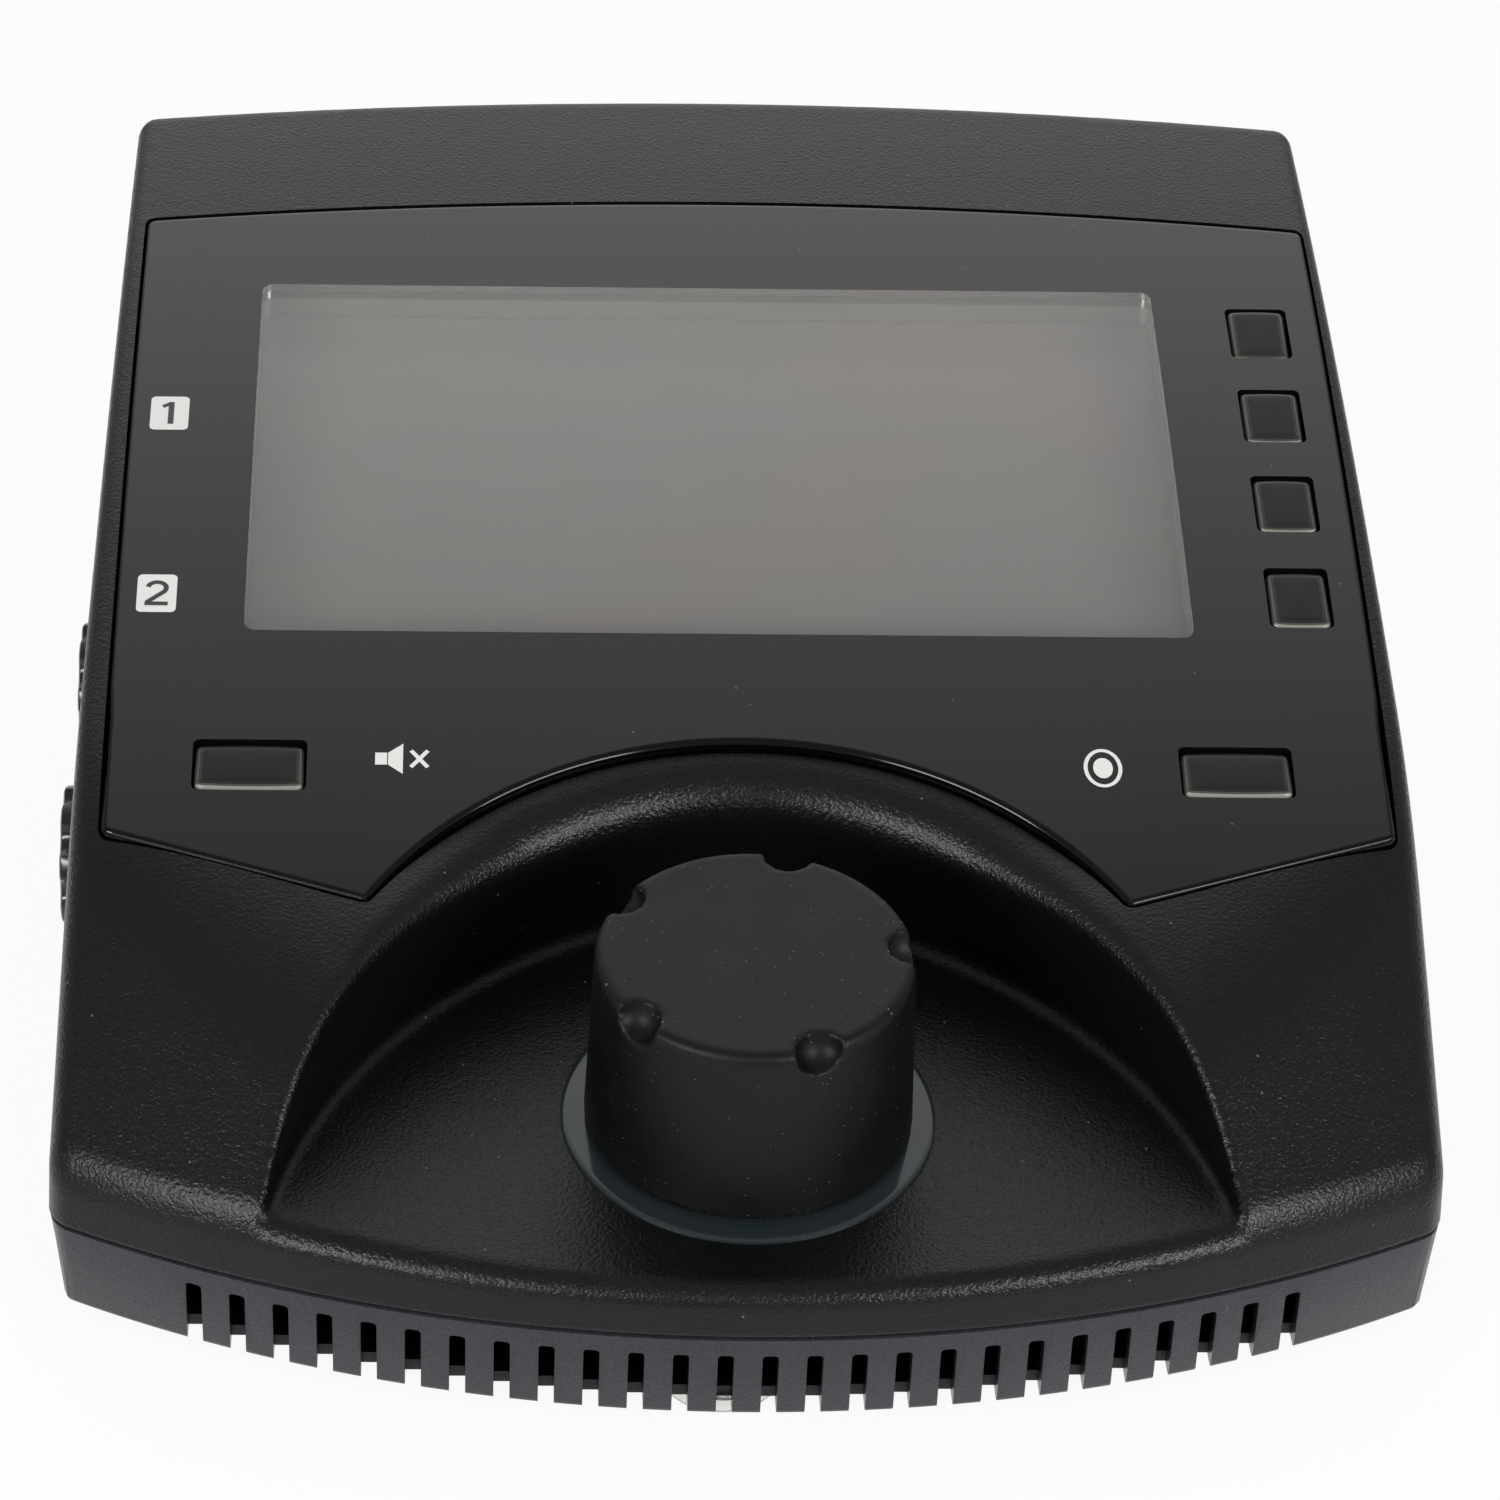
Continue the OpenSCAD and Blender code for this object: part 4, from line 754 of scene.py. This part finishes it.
rubber_tree.links.new(rubber_rough.outputs["Result"], rubber_shader.inputs["Roughness"])
knob_grid = 0.36
knob_points, knob_quads = skin(knob_field, (-18, -18, 0.5), (18, 18, 22.5), knob_grid)
knob = piece("rubber_knob", on_knob(knob_points), knob_quads, soft_rubber, 60)
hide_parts("knob")
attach(knob, "knob")

# Knob ring: a flat ring of smoky acrylic, turned and polished, let into the scoop's floor round the knob.
# It is a blue-grey smoke with a wet shine, and its outer edge is softly rounded.
smoky_ring = plain_finish("smoky_acrylic_ring", "#252d2f", {
    "Roughness": 0.1, "IOR": 1.49, "Transmission Weight": 0.15}, 5, 0.03)
fine_turn = np.linspace(0, 2 * np.pi, 128, endpoint=False)
ring_profile = [  # radius and height over the floor, once round the ring's section
    (8.5, -0.78), (18.4, -0.78), (18.4, 0.2), (18.32, 0.36), (18.1, 0.47), (17.8, 0.5), (8.5, 0.5), (8.5, -0.78)]
ring_points, ring_faces = loft([
    [(r * math.cos(a), r * math.sin(a), z) for a in fine_turn] for r, z in ring_profile], ends=False)
knob_ring = piece("smoky_knob_ring", on_knob(ring_points), ring_faces, smoky_ring)
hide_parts("knob_ring")
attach(knob_ring, "case")

# Jack nuts: black nylon nuts with eight scallops, screwed by hand onto the jacks' threaded sleeves.
# They were moulded in a polished tool, so they shine more than the case.
gloss_nylon = plain_finish("glossy_black_nylon", "#121315", {"Roughness": 0.2, "IOR": 1.53}, 1.2, 0.06)
nut_r, nut_t, sleeve_r, nut_count = 7.7, 2.1, 4.62, 160
scallops, scallop_r, scallop_out, scallop_edge_r = 8, 1.8, 0.7, 0.3
bore_edge, nut_lift = 0.3, 0.05


def nut_field(x, y):
    """Distance outside a nut's scalloped outline."""
    edge = np.hypot(x, y) - nut_r
    for i in range(scallops):
        a, out = i * 2 * np.pi / scallops, nut_r + scallop_out
        edge = round_both(edge, scallop_r - np.hypot(x - out * np.cos(a), y - out * np.sin(a)), scallop_edge_r)
    return edge


nut_profile = [  # inset and height
    (0.25, 0.0), (0.0, 0.25), (0.0, nut_t - 0.45), (0.14, nut_t - 0.14), (0.45, nut_t)]
bore_profile = [  # radius and height
    (sleeve_r + bore_edge, nut_t), (sleeve_r, nut_t - bore_edge), (sleeve_r, 0.0)]
bore_turn = np.linspace(0, 2 * np.pi, nut_count, endpoint=False)
nut_skin = [[(u, v, z) for u, v in ring(nut_field, (0.0, 0.0), -inset, nut_count)] for inset, z in nut_profile]
nut_skin += [[(r * math.cos(a), r * math.sin(a), z) for a in bore_turn] for r, z in bore_profile]
nut_points, nut_faces = loft(nut_skin + nut_skin[:1], ends=False)
nuts = {}
for name, (y, z) in zip(("input_nut_1", "input_nut_2"), inputs):
    x = -(case_half - (z - part_z) * math.tan(draft)) - nut_r * math.tan(draft) - nut_lift
    nuts[name] = [(x - p[2], y + p[1], z + p[0]) for p in nut_points]
rear_wall_r = rear_r - (output_z - nut_r - part_z) * math.tan(draft)
for name, x in zip(("output_nut_left", "output_nut_right"), outputs_x):
    y = rear_y - rear_r + math.sqrt(rear_wall_r ** 2 - (x - nut_r) ** 2) + nut_lift
    nuts[name] = [(x - p[0], y + p[2], output_z + p[1]) for p in nut_points]
for name, points in nuts.items():
    nut = piece(name + "_scalloped", points, nut_faces, gloss_nylon)
    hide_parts(name)
    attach(nut, "case")

# Photo set: a sheet of white paper under and behind the object, in a white room with a glow above and behind.
# Two flat soft boxes stand low at the front, one on each side, and pick out the nose and the knob.
# The paper is dull and even, and keeps a faint shadow under the object.
paper_white = 0.92
paper, paper_tree, paper_shader = start_material("white_paper_sweep", {
    "Base Color": linear("#f2f2f0"), "Roughness": 0.9})
paper_light = node(paper_tree, "ShaderNodeLightPath")
seen = node(paper_tree, "ShaderNodeMath", {"operation": "MAXIMUM"},
            {0: paper_light.outputs["Is Camera Ray"], 1: paper_light.outputs["Is Transmission Ray"]})
seen = node(paper_tree, "ShaderNodeMath", {"operation": "MAXIMUM"},
            {0: seen.outputs[0], 1: paper_light.outputs["Is Glossy Ray"]})
part_seen = node(paper_tree, "ShaderNodeMath", {"operation": "MULTIPLY", 1: paper_white}, {0: seen.outputs[0]})
glow = node(paper_tree, "ShaderNodeEmission", {"Color": (1, 1, 1, 1), "Strength": 1.0})
paper_mix = node(paper_tree, "ShaderNodeMixShader", {},
                 {0: part_seen.outputs[0], 1: paper_shader.outputs[0], 2: glow.outputs[0]})
paper_tree.links.new(paper_mix.outputs[0], paper_tree.nodes["Material Output"].inputs["Surface"])
sweep = piece("paper_floor", [(x, y, 0) for x, y in block(-190, 190, -160, 1500)], [(0, 1, 2, 3)], paper)

world = bpy.data.worlds.new("studio")
bpy.context.scene.world = world
world.use_nodes = True
sky_tree = world.node_tree
sky = sky_tree.nodes["Background"]
sky.inputs["Color"].default_value = (1, 1, 1, 1)
glow_way = (0.0, 0.8, 0.6)
sky_way = node(sky_tree, "ShaderNodeTexCoord").outputs["Generated"]
sky_near = node(sky_tree, "ShaderNodeVectorMath", {"operation": "DOT_PRODUCT", 1: glow_way}, {0: sky_way})
sky_level = node(sky_tree, "ShaderNodeMapRange", {
    "From Min": 0.76, "From Max": 1.0, "To Min": 0.4, "To Max": 1.42}, {"Value": sky_near.outputs["Value"]})
sky_path = node(sky_tree, "ShaderNodeLightPath")
sky_seen = node(sky_tree, "ShaderNodeMix", {"data_type": "FLOAT", 3: 1.0},
                {0: sky_path.outputs["Is Camera Ray"], 2: sky_level.outputs["Result"]})
sky_tree.links.new(sky_seen.outputs[0], sky.inputs["Strength"])

box_x, box_y, box_z, box_size, box_watts = 0.8, -1.02, 0.54, (0.7, 0.24), 10.0  # metres and watts
box_aim = Vector((0, -0.03, 0.03))
for name, side in (("left_box", -1), ("right_box", 1)):
    lamp = bpy.data.lights.new(name, "AREA")
    lamp.shape, lamp.energy = "RECTANGLE", box_watts
    lamp.size, lamp.size_y = box_size
    box = bpy.data.objects.new(name, lamp)
    box.location = (side * box_x, box_y, box_z)
    box.rotation_euler = (box_aim - box.location).to_track_quat("-Z", "Y").to_euler()
    bpy.context.scene.collection.objects.link(box)

# Camera: a long lens above the front edge, a little to the left, as the photograph was taken.
# The small shift frames the object as the photograph does.
photo_px, focal_px, sensor_mm = 1500, 5370.5, 36.0
camera = bpy.data.cameras.new("camera")
camera.sensor_width, camera.lens = sensor_mm, focal_px / photo_px * sensor_mm
camera.shift_x, camera.shift_y = 0.1, 0.0
camera.clip_end = 20
eye = bpy.data.objects.new("camera", camera)
eye.location = (-0.0259, -0.4993, 0.3110)
eye.rotation_mode = "ZYX"
eye.rotation_euler = (1.0576, -0.0211, 0.0081)
bpy.context.scene.collection.objects.link(eye)
bpy.context.scene.camera = eye
bpy.context.scene.view_settings.view_transform = "Standard"
